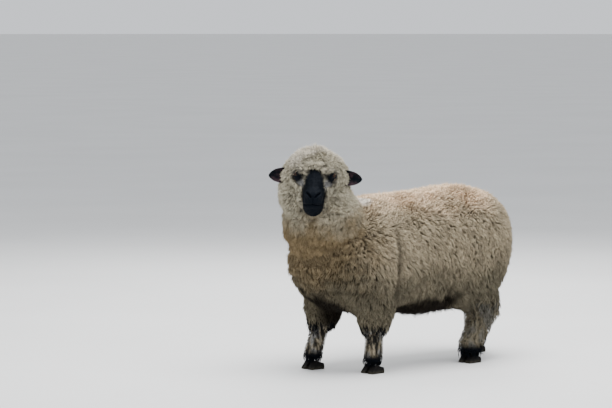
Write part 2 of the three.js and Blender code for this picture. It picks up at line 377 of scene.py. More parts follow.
# ---------------------------------------------------------------- materials
class Value:
    """A number, a colour or a place that a material works out, with its sums."""

    def __init__(self, shades, socket):
        self.shades = shades
        self.socket = socket

    def __add__(self, other):
        return self.shades.math("ADD", self, other)

    def __sub__(self, other):
        return self.shades.math("SUBTRACT", self, other)

    def __rsub__(self, other):
        return self.shades.math("SUBTRACT", other, self)

    def __mul__(self, other):
        return self.shades.math("MULTIPLY", self, other)

    def __abs__(self):
        return self.shades.math("ABSOLUTE", self)

    def greater(self, other):
        return self.shades.math("MAXIMUM", self, other)

    def fade(self, start, end, low=0, high=1):
        inputs = {"Value": self, "From Min": start, "From Max": end, "To Min": low, "To Max": high}
        return self.shades.add("MapRange", inputs, interpolation_type="SMOOTHSTEP")

    def sway(self, most):
        """Noise made into a shift of up to the given size, one way or the other."""
        return self.fade(0.3, 0.7, -most, most)


class Shades:
    """A material, and short ways to add nodes to it."""

    def __init__(self, name, **uniform):
        self.material = bpy.data.materials.new(name)
        self.material.use_nodes = True
        self.nodes = self.material.node_tree.nodes
        self.links = self.material.node_tree.links
        self.shader = self.nodes["Principled BSDF"]
        for key, value in uniform.items():
            self.shader.inputs[key.replace("_", " ")].default_value = value

    def plug(self, socket, value):
        if isinstance(value, Value):
            self.links.new(value.socket, socket)
        elif hasattr(value, "__len__") and len(value) == 3 and socket.type == "RGBA":
            socket.default_value = (*value, 1)
        else:
            socket.default_value = value

    def add(self, kind, inputs, output=0, **settings):
        node = self.nodes.new("ShaderNode" + kind)
        for key, value in settings.items():
            setattr(node, key, value)
        for key, value in inputs.items():
            self.plug(node.inputs[key], value)
        return Value(self, node.outputs[output])

    def place(self):
        return self.add("TexCoord", {}, "Object")

    def seen_from(self, origin, rotation):
        """The place in a frame of its own, in metres."""
        inputs = {"Vector": self.place(), "Location": origin, "Rotation": rotation}
        return self.add("Mapping", inputs, vector_type="TEXTURE")

    def head_place(self):
        return self.seen_from(HEAD.translation, HEAD.to_euler())

    def parts(self, vector):
        node = self.nodes.new("ShaderNodeSeparateXYZ")
        self.plug(node.inputs[0], vector)
        return [Value(self, output) for output in node.outputs]

    def point(self, x, y, z):
        return self.add("CombineXYZ", {0: x, 1: y, 2: z})

    def distance(self, place, spot):
        return self.add("VectorMath", {0: place, 1: spot}, "Value", operation="DISTANCE")

    def noise(self, place, scale, detail=3, roughness=0.5, stretch=None):
        """Blotches from 0 to 1, drawn out where the stretch of an axis is below 1."""
        if stretch:
            place = self.add("VectorMath", {0: place, 1: stretch}, operation="MULTIPLY")
        inputs = {"Vector": place, "Scale": scale, "Detail": detail, "Roughness": roughness}
        return self.add("TexNoise", inputs)

    def stored(self, name, output="Fac"):
        """A number or a vector held at the points of the mesh."""
        return self.add("Attribute", {}, output, attribute_name=name)

    def math(self, operation, one, other=0):
        return self.add("Math", {0: one, 1: other}, operation=operation)

    def mix(self, one, other, factor, blend="MIX"):
        return self.add("Mix", {0: factor, 6: one, 7: other}, 2, data_type="RGBA", blend_type=blend)

    def shade(self, colour, value):
        """The colour made darker or lighter by a number round 1."""
        return self.add("VectorMath", {0: colour, 3: value}, operation="SCALE")

    def bump(self, height, strength, distance):
        inputs = {"Height": height, "Strength": strength, "Distance": distance}
        self.plug(self.shader.inputs["Normal"], self.add("Bump", inputs))

    def finish(self, colour, roughness):
        self.plug(self.shader.inputs["Base Color"], colour)
        self.plug(self.shader.inputs["Roughness"], roughness)
        return self.material


WITHERS_PAD = (FRONT + 0.250, -0.055, 0.675)
# Two hollows painted with shade: how far behind FRONT, and how far out and how high once those two are
# squashed.
FLANK_NOTCH_SHADE = (0.630, 0.060, 0.112)
NOTCH_SQUASH = (0.3, 0.4)
SHOULDER_FOLD_SHADE = (0.306, 0.044, 0.050)
FOLD_SQUASH = (0.2, 0.12)
CHEEK_PLACE = (0.076, 0.062, -0.024)  # in the head's frame, as are all places on the face
# Painted shade in the folds across the breast, in waves up the chest
CHEST_SHADE_WAVES = 143  # radians for each metre of height


def pale_pad(shades, colours, colour):
    """The bleached tuft on the withers, where the neck's wool meets the back's."""
    away = shades.distance(shades.place(), WITHERS_PAD)
    return shades.mix(colour, colours.bleached, away.fade(0.060, 0.035))


def body_wool(shades, colours):
    """Body wool: pale back with painted top light, stained breast, mud and painted shade low down."""
    place = shades.place()
    along, across, z = shades.parts(place)
    back = along - FRONT
    out = abs(across)
    blotch = shades.noise(place, 7, 4, 0.6)
    patch = shades.noise(place, 26, 4, 0.65, (1, 1, 0.45))
    height = z + blotch.sway(0.04)
    # Paler towards the top: sun-bleached tips, and painted light falling from above
    colour = shades.mix(colours.side, colours.back, height.fade(0.58, 0.70))
    forward = back + blotch.sway(-0.06)
    front = forward.fade(0.28, 0.08) * height.fade(0.72, 0.60) * 0.9
    colour = shades.mix(colour, colours.breast, front)
    # Darker low on the rump: partly mud, partly painted shade
    rear = back.fade(0.62, 0.92) * height.fade(0.58, 0.30) * 0.55
    colour = shades.mix(colour, colours.low, rear)
    # Darker low down: partly mud, partly painted shade where the light from above falls off
    colour = shades.mix(colour, colours.low, height.fade(0.46, 0.29, 0, 0.85))
    limb = forward.fade(0.44, 0.38).greater(back.fade(0.66, 0.72))
    outside = limb * out.fade(0.07, 0.11)
    # Under the belly: mud, and painted shade
    under = height.fade(0.310, 0.235) * (1 - outside) * back.fade(0.16, 0.28, 0.25, 1)
    colour = shades.mix(colour, colours.mud_and_shade, under)
    # Painted shadow between the forelegs
    armpit_shade = height.fade(0.36, 0.27) * out.fade(0.10, 0.06)
    colour = shades.mix(colour, colours.mud_and_shade, armpit_shade)
    # Painted shade in the notch between the belly and the hind thigh
    squashed = shades.point(back, out * NOTCH_SQUASH[0], z * NOTCH_SQUASH[1])
    notch_shade = shades.distance(squashed, FLANK_NOTCH_SHADE)
    colour = shades.mix(colour, colours.mud_and_shade, notch_shade.fade(0.030, 0.010, 0, 0.8))
    colour = pale_pad(shades, colours, colour)
    # Painted shade in the crease behind the shoulder
    squashed = shades.point(back, out * FOLD_SQUASH[0], z * FOLD_SQUASH[1])
    fold = shades.distance(squashed, SHOULDER_FOLD_SHADE)
    colour = shades.shade(colour, fold.fade(0.004, 0.026, 0.45, 1))
    # Painted shade in the folds across the breast
    wave = shades.math("SINE", z * CHEST_SHADE_WAVES + blotch.fade(0.2, 0.8, -3, 3))
    crease = wave.fade(0.1, 0.9) * back.fade(0.22, 0.10) * z.fade(0.60, 0.54)
    colour = shades.shade(colour, 1 - crease * z.fade(0.26, 0.32) * 0.22)
    return shades.shade(colour, patch.fade(0.25, 0.75, 0.74, 1.2))


def head_wool(shades, colours):
    """Head and upper neck wool: greyer than fleece, browner below the cheeks; painted rim light on the
    crown.
    """
    place = shades.place()
    along, _, height = shades.parts(place)
    patch = shades.noise(place, 30, 4, 0.65)
    blotch = shades.noise(place, 12, 3, 0.5)
    high = height + blotch.sway(0.04)
    colour = shades.mix(colours.breast, colours.head, high.fade(0.52, 0.70))
    # Paler crown: painted rim light on top of the head
    colour = shades.mix(colour, colours.bleached, high.fade(0.82, 0.90, 0, 0.45))
    back = along - blotch.fade(0.3, 0.7, FRONT - 0.03, FRONT + 0.03)
    colour = shades.mix(colour, body_wool(shades, colours), back.fade(0.14, 0.24))
    colour = pale_pad(shades, colours, colour)
    forward, sideways, rise = shades.parts(shades.head_place())
    across = abs(sideways)
    speckle = shades.noise(place, 75, 3, 0.6)
    mottle = speckle.fade(0.38, 0.60)
    eye = shades.distance(shades.point(forward, across, rise), EYE_PLACE) + speckle.sway(-0.012)
    above = rise.fade(0.090, 0.040) * rise.fade(0.0, 0.02) * forward.fade(0, 0.04)
    muzzle = across.fade(0.062, 0.046) * rise.fade(-0.03, -0.07) * mottle
    dirt = eye.fade(0.044, 0.024, 0, 0.8).greater(above * mottle * 0.45)
    dirt = dirt.greater(muzzle * rise.fade(-0.15, -0.12) * 0.7)
    colour = shades.mix(colour, colours.dirt, dirt)
    return shades.shade(colour, patch.fade(0.25, 0.75, 0.78, 1.2))


def leg_hair(shades, colours):
    """The legs' colour: the body's wool above, muddy and in painted shade, and dark hair with dusty
    streaks below.
    """
    place = shades.place()
    along, _, height = shades.parts(place)
    hind = (along - FRONT).fade(0.5, 0.6)
    streak = shades.noise(place, 95, 4, 0.6, (1, 1, 0.22))
    patch = shades.noise(place, 30, 3, 0.5, (1, 1, 0.5))
    dusty = shades.mix(colours.side, colours.grey, patch.fade(0.45, 0.55))
    dusty = shades.mix(dusty, colours.low, hind * 0.45 + 0.25)
    mixed = streak + patch.fade(0.35, 0.6, -0.07, 0.03)
    dark = shades.mix(colours.hair, colours.low, 0.2)
    shin = shades.mix(dark, dusty, (mixed + hind * 0.11).fade(0.36, 0.62))
    shin = shades.mix(colours.hair, shin, height.fade(0.055, 0.090))
    over_joint = height - (hind * 0.065 + 0.140)
    band = over_joint.fade(-0.025, 0.010) * hind.fade(0, 1, 0.9, 0.35)
    shin = shades.mix(shin, colours.hair, band * mixed.fade(0.62, 0.46, 0.35, 1))
    edge = over_joint + mixed.sway(0.016)
    colour = shades.mix(shin, body_wool(shades, colours), edge.fade(0.030, 0.046))
    return shades.shade(colour, streak.fade(0.25, 0.75, 0.7, 1.3))


def face_hair(shades, colours):
    """The face's colour: a dark arch down the nose, dark eyes, grey between and wool beyond."""
    x, y, z = shades.parts(shades.head_place())
    wander = shades.noise(shades.place(), 130, 4, 0.7)
    across = abs(y) + wander.sway(0.006)
    peak = z.fade(0.050, 0.036, 0, 0.020) + z.fade(0.036, -0.002, 0, 0.016)
    half_width = peak + z.fade(0, -0.06, 0, 0.012) + z.fade(-0.085, -0.110, 0, 0.05)
    beside = (across - half_width).fade(-0.004, 0.008)
    beside = beside * across.fade(0.100, 0.085) * x.fade(0.130, 0.112)
    spot = shades.point(x, across, z)
    eye = shades.distance(spot, EYE_PLACE)
    cheek = shades.distance(spot, CHEEK_PLACE)
    wool = shades.mix(colours.head, colours.hair, wander.fade(0.55, 0.35, 0, 0.45))
    pale = shades.mix(shades.shade(wool, 0.8), colours.grey, cheek.fade(0.036, 0.022))
    pale = shades.mix(pale, colours.hair, eye.fade(0.036, 0.021))
    pale = shades.mix(pale, colours.hair, z.fade(-0.008, 0.006, 0, 0.6))
    groove = abs(across + z * -0.55 - 0.056)
    tear = groove.fade(0.007, 0.003) * z.fade(0.012, 0.0) * 0.5
    return shades.mix(colours.hair, pale, beside * (1 - tear))


def tufted(name, colours, markings, sheen=0.30):
    """A coat material: the markings, darker at each lock's root and paler at its tip, in fibres."""
    shades = Shades(name, Specular_IOR_Level=0.06, Sheen_Weight=sheen, Sheen_Roughness=0.4)
    tip = shades.stored("tip")
    tone = shades.stored("tone")
    # Tone: random paleness, and on the fleece also painted shade in its partings and folds
    colour = shades.shade(markings(shades, colours), tone.fade(0, 1, 0.70, 1.26))
    shaded = shades.mix(colour, colours.root, 0.42, "MULTIPLY")
    colour = shades.mix(shaded, colour, tip.fade(0, 0.35))
    fibre = shades.noise(shades.stored("grain", "Vector"), 1.6, 2, 0.6, (5, 0.12, 1))
    colour = shades.shade(colour, fibre.fade(0.25, 0.75, 0.82, 1.15))
    colour = shades.shade(colour, tip.fade(0.4, 1.0, 1.0, 1.35))
    shades.plug(shades.shader.inputs["Sheen Tint"], colour)
    shades.bump(fibre, 0.5, 0.8 * MM)
    return shades.finish(colour, fibre.fade(0.2, 0.8, 0.98, 0.8))


# ---------------------------------------------------------------- skin
BODY_GRAIN = 6.0 * MM
SKIN_GRAIN = 7.8 * MM
SKULL_MASSES = (  # middle and half sizes, in the head's frame, in millimetres
    ((-22, 0, 8), (78, 118, 80)),
    ((0, 0, 0), (64, 60, 62)),
    ((48, 0, -16), (56, 48, 50)),
    ((30, 0, -56), (60, 48, 46)),
    ((28, 0, -4), (40, 62, 40)),
    ((54, 54, 11), (29, 20, 27)),
    ((54, -54, 11), (29, 20, 27)),
)
LEG_HEIGHTS = (0.03, 0.10, 0.17, 0.24, 0.34)


def coat_depth(coat, node_depths, regions, heights):
    """How deep the coat is at each point: by region, and by height down the legs."""
    depth = node_depths[regions]
    shin, thigh = coat.shin_depth, coat.thigh_depth
    down_leg = np.interp(heights, LEG_HEIGHTS, (shin, shin, shin * 1.6, thigh * 0.75, thigh))
    return np.where(regions == REGIONS.index("leg"), down_leg, depth)


def skull_piece(place, half_sizes):
    piece = ball(32, 20, MM)
    there = Matrix.Translation(Vector(place) * MM)
    piece.matrix_basis = HEAD @ there @ Matrix.Diagonal((*half_sizes, 1))
    bpy.ops.object.transform_apply(location=True, rotation=True, scale=True)
    return piece


def make_hide(coat):
    """The body under its wool, with no face yet, and a search tree over the tips of the coat."""
    body = join([copy_of(node) for node in WOOLLED])
    swell(body, 1.5 * MM)
    remesh(body, BODY_GRAIN)
    smooth(body, 8)
    tips, _ = tree_of([body])
    solids, owner = tree_of([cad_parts[node] for node in FLESH])
    points = points_of(body)
    face, _ = nearest(solids, points)
    regions = np.array([region_of(node) for node in FLESH])[owner[face]]
    depths = [coat.fleece_depth, coat.neck_depth, coat.head_depth, coat.tail_depth, 0, 0, 0]
    depth = blur(body, coat_depth(coat, np.array(depths), regions, points[:, 2]), 20)
    move_points(body, points - normals_of(body) * depth[:, None])
    smooth(body, 8)
    return body, tips, (solids, owner)


def face_zone(points):
    """Which points lie on the face, from the brow to under the chin."""
    x, y, z = to_head(points).T
    return (x > 22) & (np.abs(y) < 100) & (z > -135) & (z < 75)


def bare_zone(points):
    """Which points lie on the middle of the face, which is cut finer."""
    x, y, z = to_head(points).T
    return (x > 36) & (np.abs(y) < 88) & (z > -130) & (z < 56)


def subdivide(piece, wanted):
    """Cuts each face whose vertices are all wanted in four."""
    loops = read(piece.data.loops, "vertex_index", int)
    starts = read(piece.data.polygons, "loop_start", int)
    inside = np.logical_and.reduceat(wanted[loops], starts)
    choose(piece)
    bpy.ops.object.mode_set(mode="EDIT")
    bpy.ops.mesh.select_mode(type="FACE")
    bpy.ops.mesh.select_all(action="DESELECT")
    bpy.ops.object.mode_set(mode="OBJECT")
    piece.data.polygons.foreach_set("select", inside)
    bpy.ops.object.mode_set(mode="EDIT")
    bpy.ops.mesh.subdivide(number_cuts=1)
    bpy.ops.mesh.vertices_smooth(factor=0.5, repeat=1)
    bpy.ops.mesh.select_all(action="SELECT")
    bpy.ops.object.mode_set(mode="OBJECT")


GAZE = {1: (0.66, 0.72, 0.20), -1: (0.66, -0.72, 0.20)}  # which way each eye looks
LID_SLANT = (0.72, 0.62, 0.34)  # forwards, inwards and down along the lids


def eye_frame(side):
    """An eye's middle, and its axes: out along the gaze, down along the lids and up across them."""
    out = unit(np.array(GAZE[side]))
    forwards, inwards, down = LID_SLANT
    slant = np.array((forwards, -inwards * side, -down))
    along = unit(slant - out * (slant @ out))
    across = np.cross(out, along) * side
    across = across if across[2] > 0 else -across
    centre = np.array((EYE_FORWARD, side * EYE_SIDE, EYE_RISE)) / MM
    return centre, out, along, across


EYE_RADIUS = 14.0  # millimetres, as are all the sizes of the face below
LID_LENGTH = math.radians(60)
LID_TOP = math.radians(31)
LID_BOTTOM = math.radians(25)
LID_THICKNESS = 1.9
ALMOND = 1.6  # the outline of the opening: 1 is a diamond and 2 an ellipse
SOCKET = 4.5  # how far inside the ball the skin lies within the opening
LID_REACH = 42  # from the eye's middle


def shape_lids(local, side):
    """Draws the skin round an eyeball: an almond opening, two lids on the ball and a crease above."""
    centre, out, along, across = eye_frame(side)
    reach = local - centre
    distance = np.linalg.norm(reach, axis=1)
    way = unit(reach)
    ahead = way @ out
    turn, lift = np.arctan2(way @ along, ahead), np.arctan2(way @ across, ahead)
    height = np.where(lift > 0, LID_TOP, LID_BOTTOM)
    opening = np.abs(turn / LID_LENGTH) ** ALMOND + np.abs(lift / height) ** ALMOND
    opening = opening ** (1 / ALMOND)
    held = np.where((opening > 0.86) & (opening < 1.08), 1.02 / np.maximum(opening, 1e-6), 1)
    turn, lift = turn * held, lift * held
    flat = np.hypot(turn, lift)
    spread = np.divide(np.sin(flat), flat, out=np.ones_like(flat), where=flat > 1e-6)
    snapped = np.cos(flat)[:, None] * out
    snapped = snapped + (turn * spread)[:, None] * along + (lift * spread)[:, None] * across
    way = np.where((held != 1)[:, None], unit(snapped), way)
    opening = opening * held
    rim = EYE_RADIUS + LID_THICKNESS
    crease = 1.3 * np.exp(-(((opening - 1.55) / 0.13) ** 2)) * (lift > 0)
    fold = 0.8 * np.exp(-(((opening - 1.85) / 0.22) ** 2))
    lid = rim - crease + fold
    target = np.where(opening < 1.0, EYE_RADIUS - SOCKET, lid)
    blend = fade(opening, 2.1, 1.4)
    blend = np.where((ahead > 0.05) & (distance < LID_REACH), blend, 0)
    kept = distance + (target - distance) * blend
    return centre + way * kept[:, None]


def along_path(points, path):
    """How far each point is from a path, and how far along it, from 0 to 1."""
    path = np.asarray(path, float)
    best = np.full(len(points), 1e9)
    share = np.zeros(len(points))
    for i, (start, end) in enumerate(zip(path, path[1:])):
        line = end - start
        t = np.clip((points - start) @ line / (line @ line), 0, 1)
        gap = np.linalg.norm(points - start - t[:, None] * line, axis=1)
        closer = gap < best
        best[closer] = gap[closer]
        share[closer] = ((i + t) / (len(path) - 1))[closer]
    return best, share


# Strokes of a modelling tool over the face: a path in the head's frame, with +Y for both sides, the
# tool's width, and how deep it presses. Where the depth is below 0 it raises a ridge.
STROKES = {
    "nostril": (((173, 9, -63), (172, 15, -57), (168, 22, -50), (161, 28, -47)), 3.4, 9.0),
    "nostril wing": (((170, 19, -64), (166, 27, -57), (160, 33, -52)), 4.6, -3.2),
    "nostril brow": (((172, 11, -48), (166, 19, -41), (156, 27, -39)), 4.5, -1.8),
    "philtrum": (((177, 0, -58), (178, 0, -72), (175, 0, -88)), 2.2, 3.2),
    "mouth": (
        (
            (173, 0, -91),
            (170, 12, -93),
            (160, 26, -94),
            (142, 36, -92),
            (122, 41, -88),
            (102, 45, -80),
        ),
        2.4,
        4.8,
    ),
    "upper lip": (((172, 6, -84), (162, 24, -86), (142, 38, -84), (122, 43, -79)), 6.0, -2.0),
    "lower lip": (((166, 0, -99), (156, 18, -101), (138, 28, -100)), 4.5, -1.6),
    "chin hollow": (((158, 0, -108), (150, 12, -110)), 5.0, 1.5),
    "nose side": (((132, 30, -40), (108, 34, -22), (90, 37, -8)), 7.0, 2.4),
    "nose bone": (((150, 17, -30), (118, 21, -8), (86, 24, 14)), 7.0, -1.4),
    "tear groove": (((84, 54, 2), (92, 49, -8), (101, 44, -20)), 4.0, 2.6),
    "cheek ridge": (((72, 62, -10), (92, 56, -30), (108, 50, -44)), 6.0, -1.6),
    "brow ridge": (((60, 50, 33), (72, 56, 30), (80, 62, 24)), 6.0, -1.6),
}


def on_surface(tree, path):
    """A path moved onto the skin."""
    return [to_head(np.array(tree.find_nearest(p)[0])[None])[0] for p in from_head(path)]


def model_face(skin):
    """Works the lids, nostrils, lips and ridges into the skin, in mirrored strokes."""
    points = points_of(skin)
    normals = normals_of(skin) @ HEAD_AXES
    zone = face_zone(points)
    local = to_head(points[zone])
    out = normals[zone]
    tree, _ = tree_of([skin])
    push = np.zeros(len(local))
    for path, width, depth in STROKES.values():
        for side in (1, -1):
            mirrored = np.array(path, float) * (1, side, 1)
            gap, _ = along_path(local, on_surface(tree, mirrored))
            push += depth * np.exp(-((gap / width) ** 2)) * side_share(path)
    wrinkle = ripples(local, 9, 5) * 0.25 + ripples(local, 4, 6) * 0.12
    local = local - out * (push + wrinkle)[:, None]
    for side in (1, -1):
        near = local[:, 1] * side > 0
        local[near] = shape_lids(local[near], side)
    points[zone] = from_head(local)
    move_points(skin, points)


def side_share(path):
    """A path along the midline is drawn twice by the mirror, so each time counts half."""
    return 0.5 if all(point[1] == 0 for point in path) else 1.0


EAR_LENGTH = 115.0
EAR_WIDTH = 62.0
EAR_ROOT = (-8.0, 66.0, 8.0)
EAR_TROUGH = 0.55  # how deep it is hollowed, as a share of its width
EAR_SWEEP = 14  # how far its tip lies behind its root
EAR_DROOP = 6  # and how far below
EAR_THICKNESS = 2.0
EAR_RIM = 0.9
EAR_RIBS = 0.55
EAR_BOWL = 1.2
EAR_WAVE = 1.5


def make_ear(side):
    """An ear: a ball drawn out to a hollowed leaf, with a rolled rim, ribs inside and a thin tip."""
    ear = ball(96, 72, 1)
    x, y, z = points_of(ear).T
    t = np.clip((z + 1) / 2, 0, 1)
    leaf = np.maximum(1 - t, 0) ** 0.15 * (0.9 + 0.3 * t)
    across = x * leaf
    trough = EAR_TROUGH * EAR_WIDTH * across**2 * (1 - 0.4 * t)
    thick = EAR_THICKNESS * (0.55 + 0.45 * leaf) * (1 - 0.25 * t)
    inner = y > 0
    rim = np.exp(-(((np.abs(x) - 0.93) / 0.10) ** 2)) * EAR_RIM
    ribs = EAR_RIBS * np.cos(across * 19) * np.exp(-((across / 0.55) ** 2)) * fade(t, 0.95, 0.5)
    bowl = EAR_BOWL * np.exp(-((x / 0.6) ** 2))
    front = trough + y * thick + np.where(inner, ribs - bowl * 0.5 + rim, -ribs * 0.3 + rim * 0.2)
    curl = EAR_WAVE * np.sin(t * 9 + 0.6 * side) * fade(np.abs(x), 0.5, 1.0)
    local = np.column_stack(
        (
            front + curl - EAR_SWEEP * t + EAR_ROOT[0],
            side * (t * EAR_LENGTH + EAR_ROOT[1]),
            across * EAR_WIDTH / 2 - EAR_DROOP * t * t + EAR_ROOT[2],
        )
    )
    move_points(ear, from_head(local))
    edit(ear, bpy.ops.mesh.normals_make_consistent, inside=False)
    shade_smooth(ear)
    return ear


def gaps(points, others):
    """How far each point is from the nearest of the others."""
    tree = point_tree(others, range(len(others)))
    return np.array([tree.find(point)[2] for point in points])


FACE_DEPTH = 0.0045  # of the coat where the face meets the head's wool
FACE_DEEPENING = 0.0045  # and how much deeper it gets further down the face
DEEPENING_REACH = 0.025


def mark_skin(skin, ear_start, tips, solids):
    """Notes each point's region and the depth of coat over it, for the wool to read."""
    tree, owner = solids
    points = points_of(skin)
    face, _ = nearest(tree, points)
    regions = np.array([region_of(node) for node in FLESH])[owner[face]]
    regions[ear_start:] = REGIONS.index("ear")
    regions[:ear_start][regions[:ear_start] == REGIONS.index("ear")] = REGIONS.index("head")
    _, depth = nearest(tips, points)
    face, head = regions == REGIONS.index("face"), regions == REGIONS.index("head")
    from_wool = gaps(points[face], points[head])
    depth[face] = FACE_DEPTH + FACE_DEEPENING * fade(from_wool, 0.0, DEEPENING_REACH)
    set_numbers(skin, "region", regions)
    set_numbers(skin, "depth", depth)


def skin_material(colours):
    """Bare skin and flat hair: the coat's markings, darkened between the locks as painted shade, with
    grain and pores.
    """
    shades = Shades("sheep_skin", Specular_IOR_Level=0.05)
    place = shades.place()
    region = shades.stored("region")
    # Skin seen between the locks: the wool's markings darkened as painted shade
    wool = shades.shade(body_wool(shades, colours), 0.45)
    crown = shades.shade(head_wool(shades, colours), 0.5)
    colour = shades.mix(wool, crown, region.fade(0.9, 1.6))
    colour = shades.mix(colour, wool, region.fade(2.4, 2.6))
    colour = shades.mix(colour, leg_hair(shades, colours), region.fade(3.4, 3.6))
    colour = shades.mix(colour, face_hair(shades, colours), region.fade(4.4, 4.6))
    pink = shades.stored("inner") * shades.noise(place, 45, 3).fade(0.42, 0.65)
    colour = shades.mix(colour, colours.inner_ear, pink)
    grain = shades.noise(place, 900, 3, 0.6)
    fold = shades.noise(place, 220, 3, 0.55)
    colour = shades.shade(colour, grain.fade(0.3, 0.7, 0.8, 1.25))
    shades.bump(grain + fold * 1.4, 0.55, 0.5 * MM)
    return shades.finish(colour, fold.fade(0.3, 0.7, 0.8, 0.6))


FINE_SPOTS = (  # the eyes and the nostrils, cut finest of all: middle and radius, in millimetres
    ((66, 63, 14), 27),
    ((66, -63, 14), 27),
    ((166, 0, -66), 44),
)


class SHEEP_OT_skin(bpy.types.Operator):
    """Make the one skin of the body, head, ears and legs"""

    bl_idname = "sheep.skin"
    bl_label = "Skin"

    def execute(self, context):
        scene = context.scene
        body, tips, solids = make_hide(scene.sheep_coat)
        muzzle = copy_of("muzzle")
        swell(muzzle, -0.8 * MM)
        eyes = [copy_of("eye_left"), copy_of("eye_right")]
        for eye in eyes:
            swell(eye, 1.2 * MM)
        skull = [skull_piece(place, sizes) for place, sizes in SKULL_MASSES]
        skin = join([body, muzzle, *eyes, *skull])
        remesh(skin, SKIN_GRAIN)
        smooth(skin, 2)
        subdivide(skin, face_zone(points_of(skin)))
        subdivide(skin, bare_zone(points_of(skin)))
        for place, radius in FINE_SPOTS:
            reach = to_head(points_of(skin)) - place
            subdivide(skin, np.linalg.norm(reach, axis=1) < radius)
        model_face(skin)
        ear_start = len(skin.data.vertices)
        skin = join([skin, make_ear(1), make_ear(-1)])
        mark_skin(skin, ear_start, tips, solids)
        set_numbers(skin, "inner", inner_ear_share(skin, ear_start))
        dress(skin, "skin", skin_material(scene.sheep_colours))
        shade_smooth(skin)
        settle(skin, "dark_face", *FLESH)
        return {"FINISHED"}


def inner_ear_share(skin, ear_start):
    """1 on the bare inside of the ears, 0 on their rims, their backs and the rest of the skin."""
    local = to_head(points_of(skin))
    facing = (normals_of(skin) @ HEAD_AXES)[:, 0]
    out = np.abs(local[:, 1])
    share = fade(facing, 0.15, 0.6) * fade(out, 120, 140) * fade(out, 178, 160)
    share[:ear_start] = 0
    return share


# ---------------------------------------------------------------- wool
PATCH = 0.003  # how wide each lock's patch of the bake map is
FLATNESS = 0.7  # a lock's thickness against its width
UPRIGHT = 0.75  # how soon a lock rises: below 1 it stands up from its root before it leans over


def skin_sample(skin, wanted, count, rng):
    """Evenly spread roots on the skin: places, normals, depth of coat, and the area they cover."""
    skin.data.calc_loop_triangles()
    corners = read(skin.data.loop_triangles, "vertices", int, 3)
    points = points_of(skin)
    a, b, c = points[corners[:, 0]], points[corners[:, 1]], points[corners[:, 2]]
    area = np.linalg.norm(np.cross(b - a, c - a), axis=1) / 2
    share = area * wanted[corners].mean(1)
    total = np.cumsum(share)
    picks = np.searchsorted(total, (np.arange(count) + rng.random(count)) / count * total[-1])
    picks = np.minimum(picks, len(corners) - 1)
    u, v = rng.random((2, count))
    over = u + v > 1
    u[over], v[over] = 1 - u[over], 1 - v[over]
    mix = np.column_stack((1 - u - v, u, v))

    def blended(values):
        found = values[corners[picks]]
        return np.einsum("ij,ij...->i...", mix, found)

    normals = unit(blended(normals_of(skin)))
    return blended(points), normals, blended(get_numbers(skin, "depth")), total[-1]


def unwrap(points, start, end, radius):
    """Where each point lies on a flat unwrap of the shape round the line from start to end."""
    start, end = np.array(start), np.array(end)
    length = np.linalg.norm(end - start)
    axis = (end - start) / length
    side = unit(np.cross(axis, (0.3, 0.2, 1)))
    out = points - start
    along = out @ axis
    held = np.clip(along, 0, length)
    radial = out - along[:, None] * axis
    meridian = held + radius * np.arctan2(along - held, np.linalg.norm(radial, axis=1))
    turn = np.arctan2(radial @ np.cross(axis, side), radial @ side) / (2 * math.pi) + 0.5
    return np.column_stack((turn, meridian))


def spread_out(places):
    """The same places, fitted to the square of the bake map."""
    low, high = places.min(0), places.max(0)
    return PATCH + (places - low) / np.maximum(high - low, 1e-9) * (1 - 2 * PATCH)


def group(roots, spacing, area, rng):
    """Gathers the roots into clumps: for each root, the number of the root at its clump's heart."""
    chance = area / len(roots) / spacing**2
    hearts = np.flatnonzero(rng.random(len(roots)) < chance)
    tree = point_tree(roots[hearts], hearts)
    return np.array([tree.find(root)[1] for root in roots])


def lock_paths(roots, normals, lie, height, reach, steps):
    """The middle lines of the locks: up from the skin and then over along the lie of the coat."""
    t = np.linspace(0, 1, steps + 1)
    up = (1 - (1 - t) ** 2) ** UPRIGHT
    over = t**1.5
    return (
        roots[:, None]
        + normals[:, None] * (height[:, None] * up)[..., None]
        + lie[:, None] * (reach[:, None] * over)[..., None]
    )


def curl_paths(paths, normals, lie, size, turns, rng):
    """Gives each lock its own wave, growing towards the tip."""
    t = np.linspace(0, 1, paths.shape[1])
    count = len(paths)
    phase = rng.uniform(0, 2 * math.pi, (count, 1))
    angle = 2 * math.pi * turns * rng.uniform(0.7, 1.3, (count, 1)) * t + phase
    side = np.cross(normals, lie)
    amount = size * rng.uniform(0.5, 1.4, (count, 1)) * t**0.7
    return (
        paths
        + side[:, None] * (np.sin(angle) * amount)[..., None]
        + normals[:, None] * (np.cos(angle) * amount * 0.6)[..., None]
    )


def clump_paths(paths, hearts, pull):
    """Draws each lock in towards the lock at the heart of its clump, most at the tip."""
    t = np.linspace(0, 1, paths.shape[1])
    share = (pull[:, None] * t**1.2)[..., None]
    return paths + (paths[hearts] - paths) * share


def lock_pattern(rings):
    """A lock's faces by the numbers of its points, and where their corners lie on its patch."""
    walls = [(j, k) for k in range(rings - 1) for j in range(3)]
    sides = [
        (3 * k + j, 3 * k + (j + 1) % 3, 3 * k + 3 + (j + 1) % 3, 3 * k + 3 + j) for j, k in walls
    ]
    last = 3 * rings - 3
    ends = [(last + j, last + (j + 1) % 3, 3 * rings) for j in range(3)]
    steps = np.linspace(0, 1, rings + 1)
    places = [(0, 0), (2 / 3, 0), (1 / 3, 0)]
    for j, k in walls:
        places += [(u / 3, steps[v]) for u, v in ((j, k), (j + 1, k), (j + 1, k + 1), (j, k + 1))]
    for j in range(3):
        near_tip = ((j / 3, rings - 1), ((j + 1) / 3, rings - 1), ((j + 0.5) / 3, rings))
        places += [(u, steps[v]) for u, v in near_tip]
    return [(0, 2, 1), *sides, *ends], places


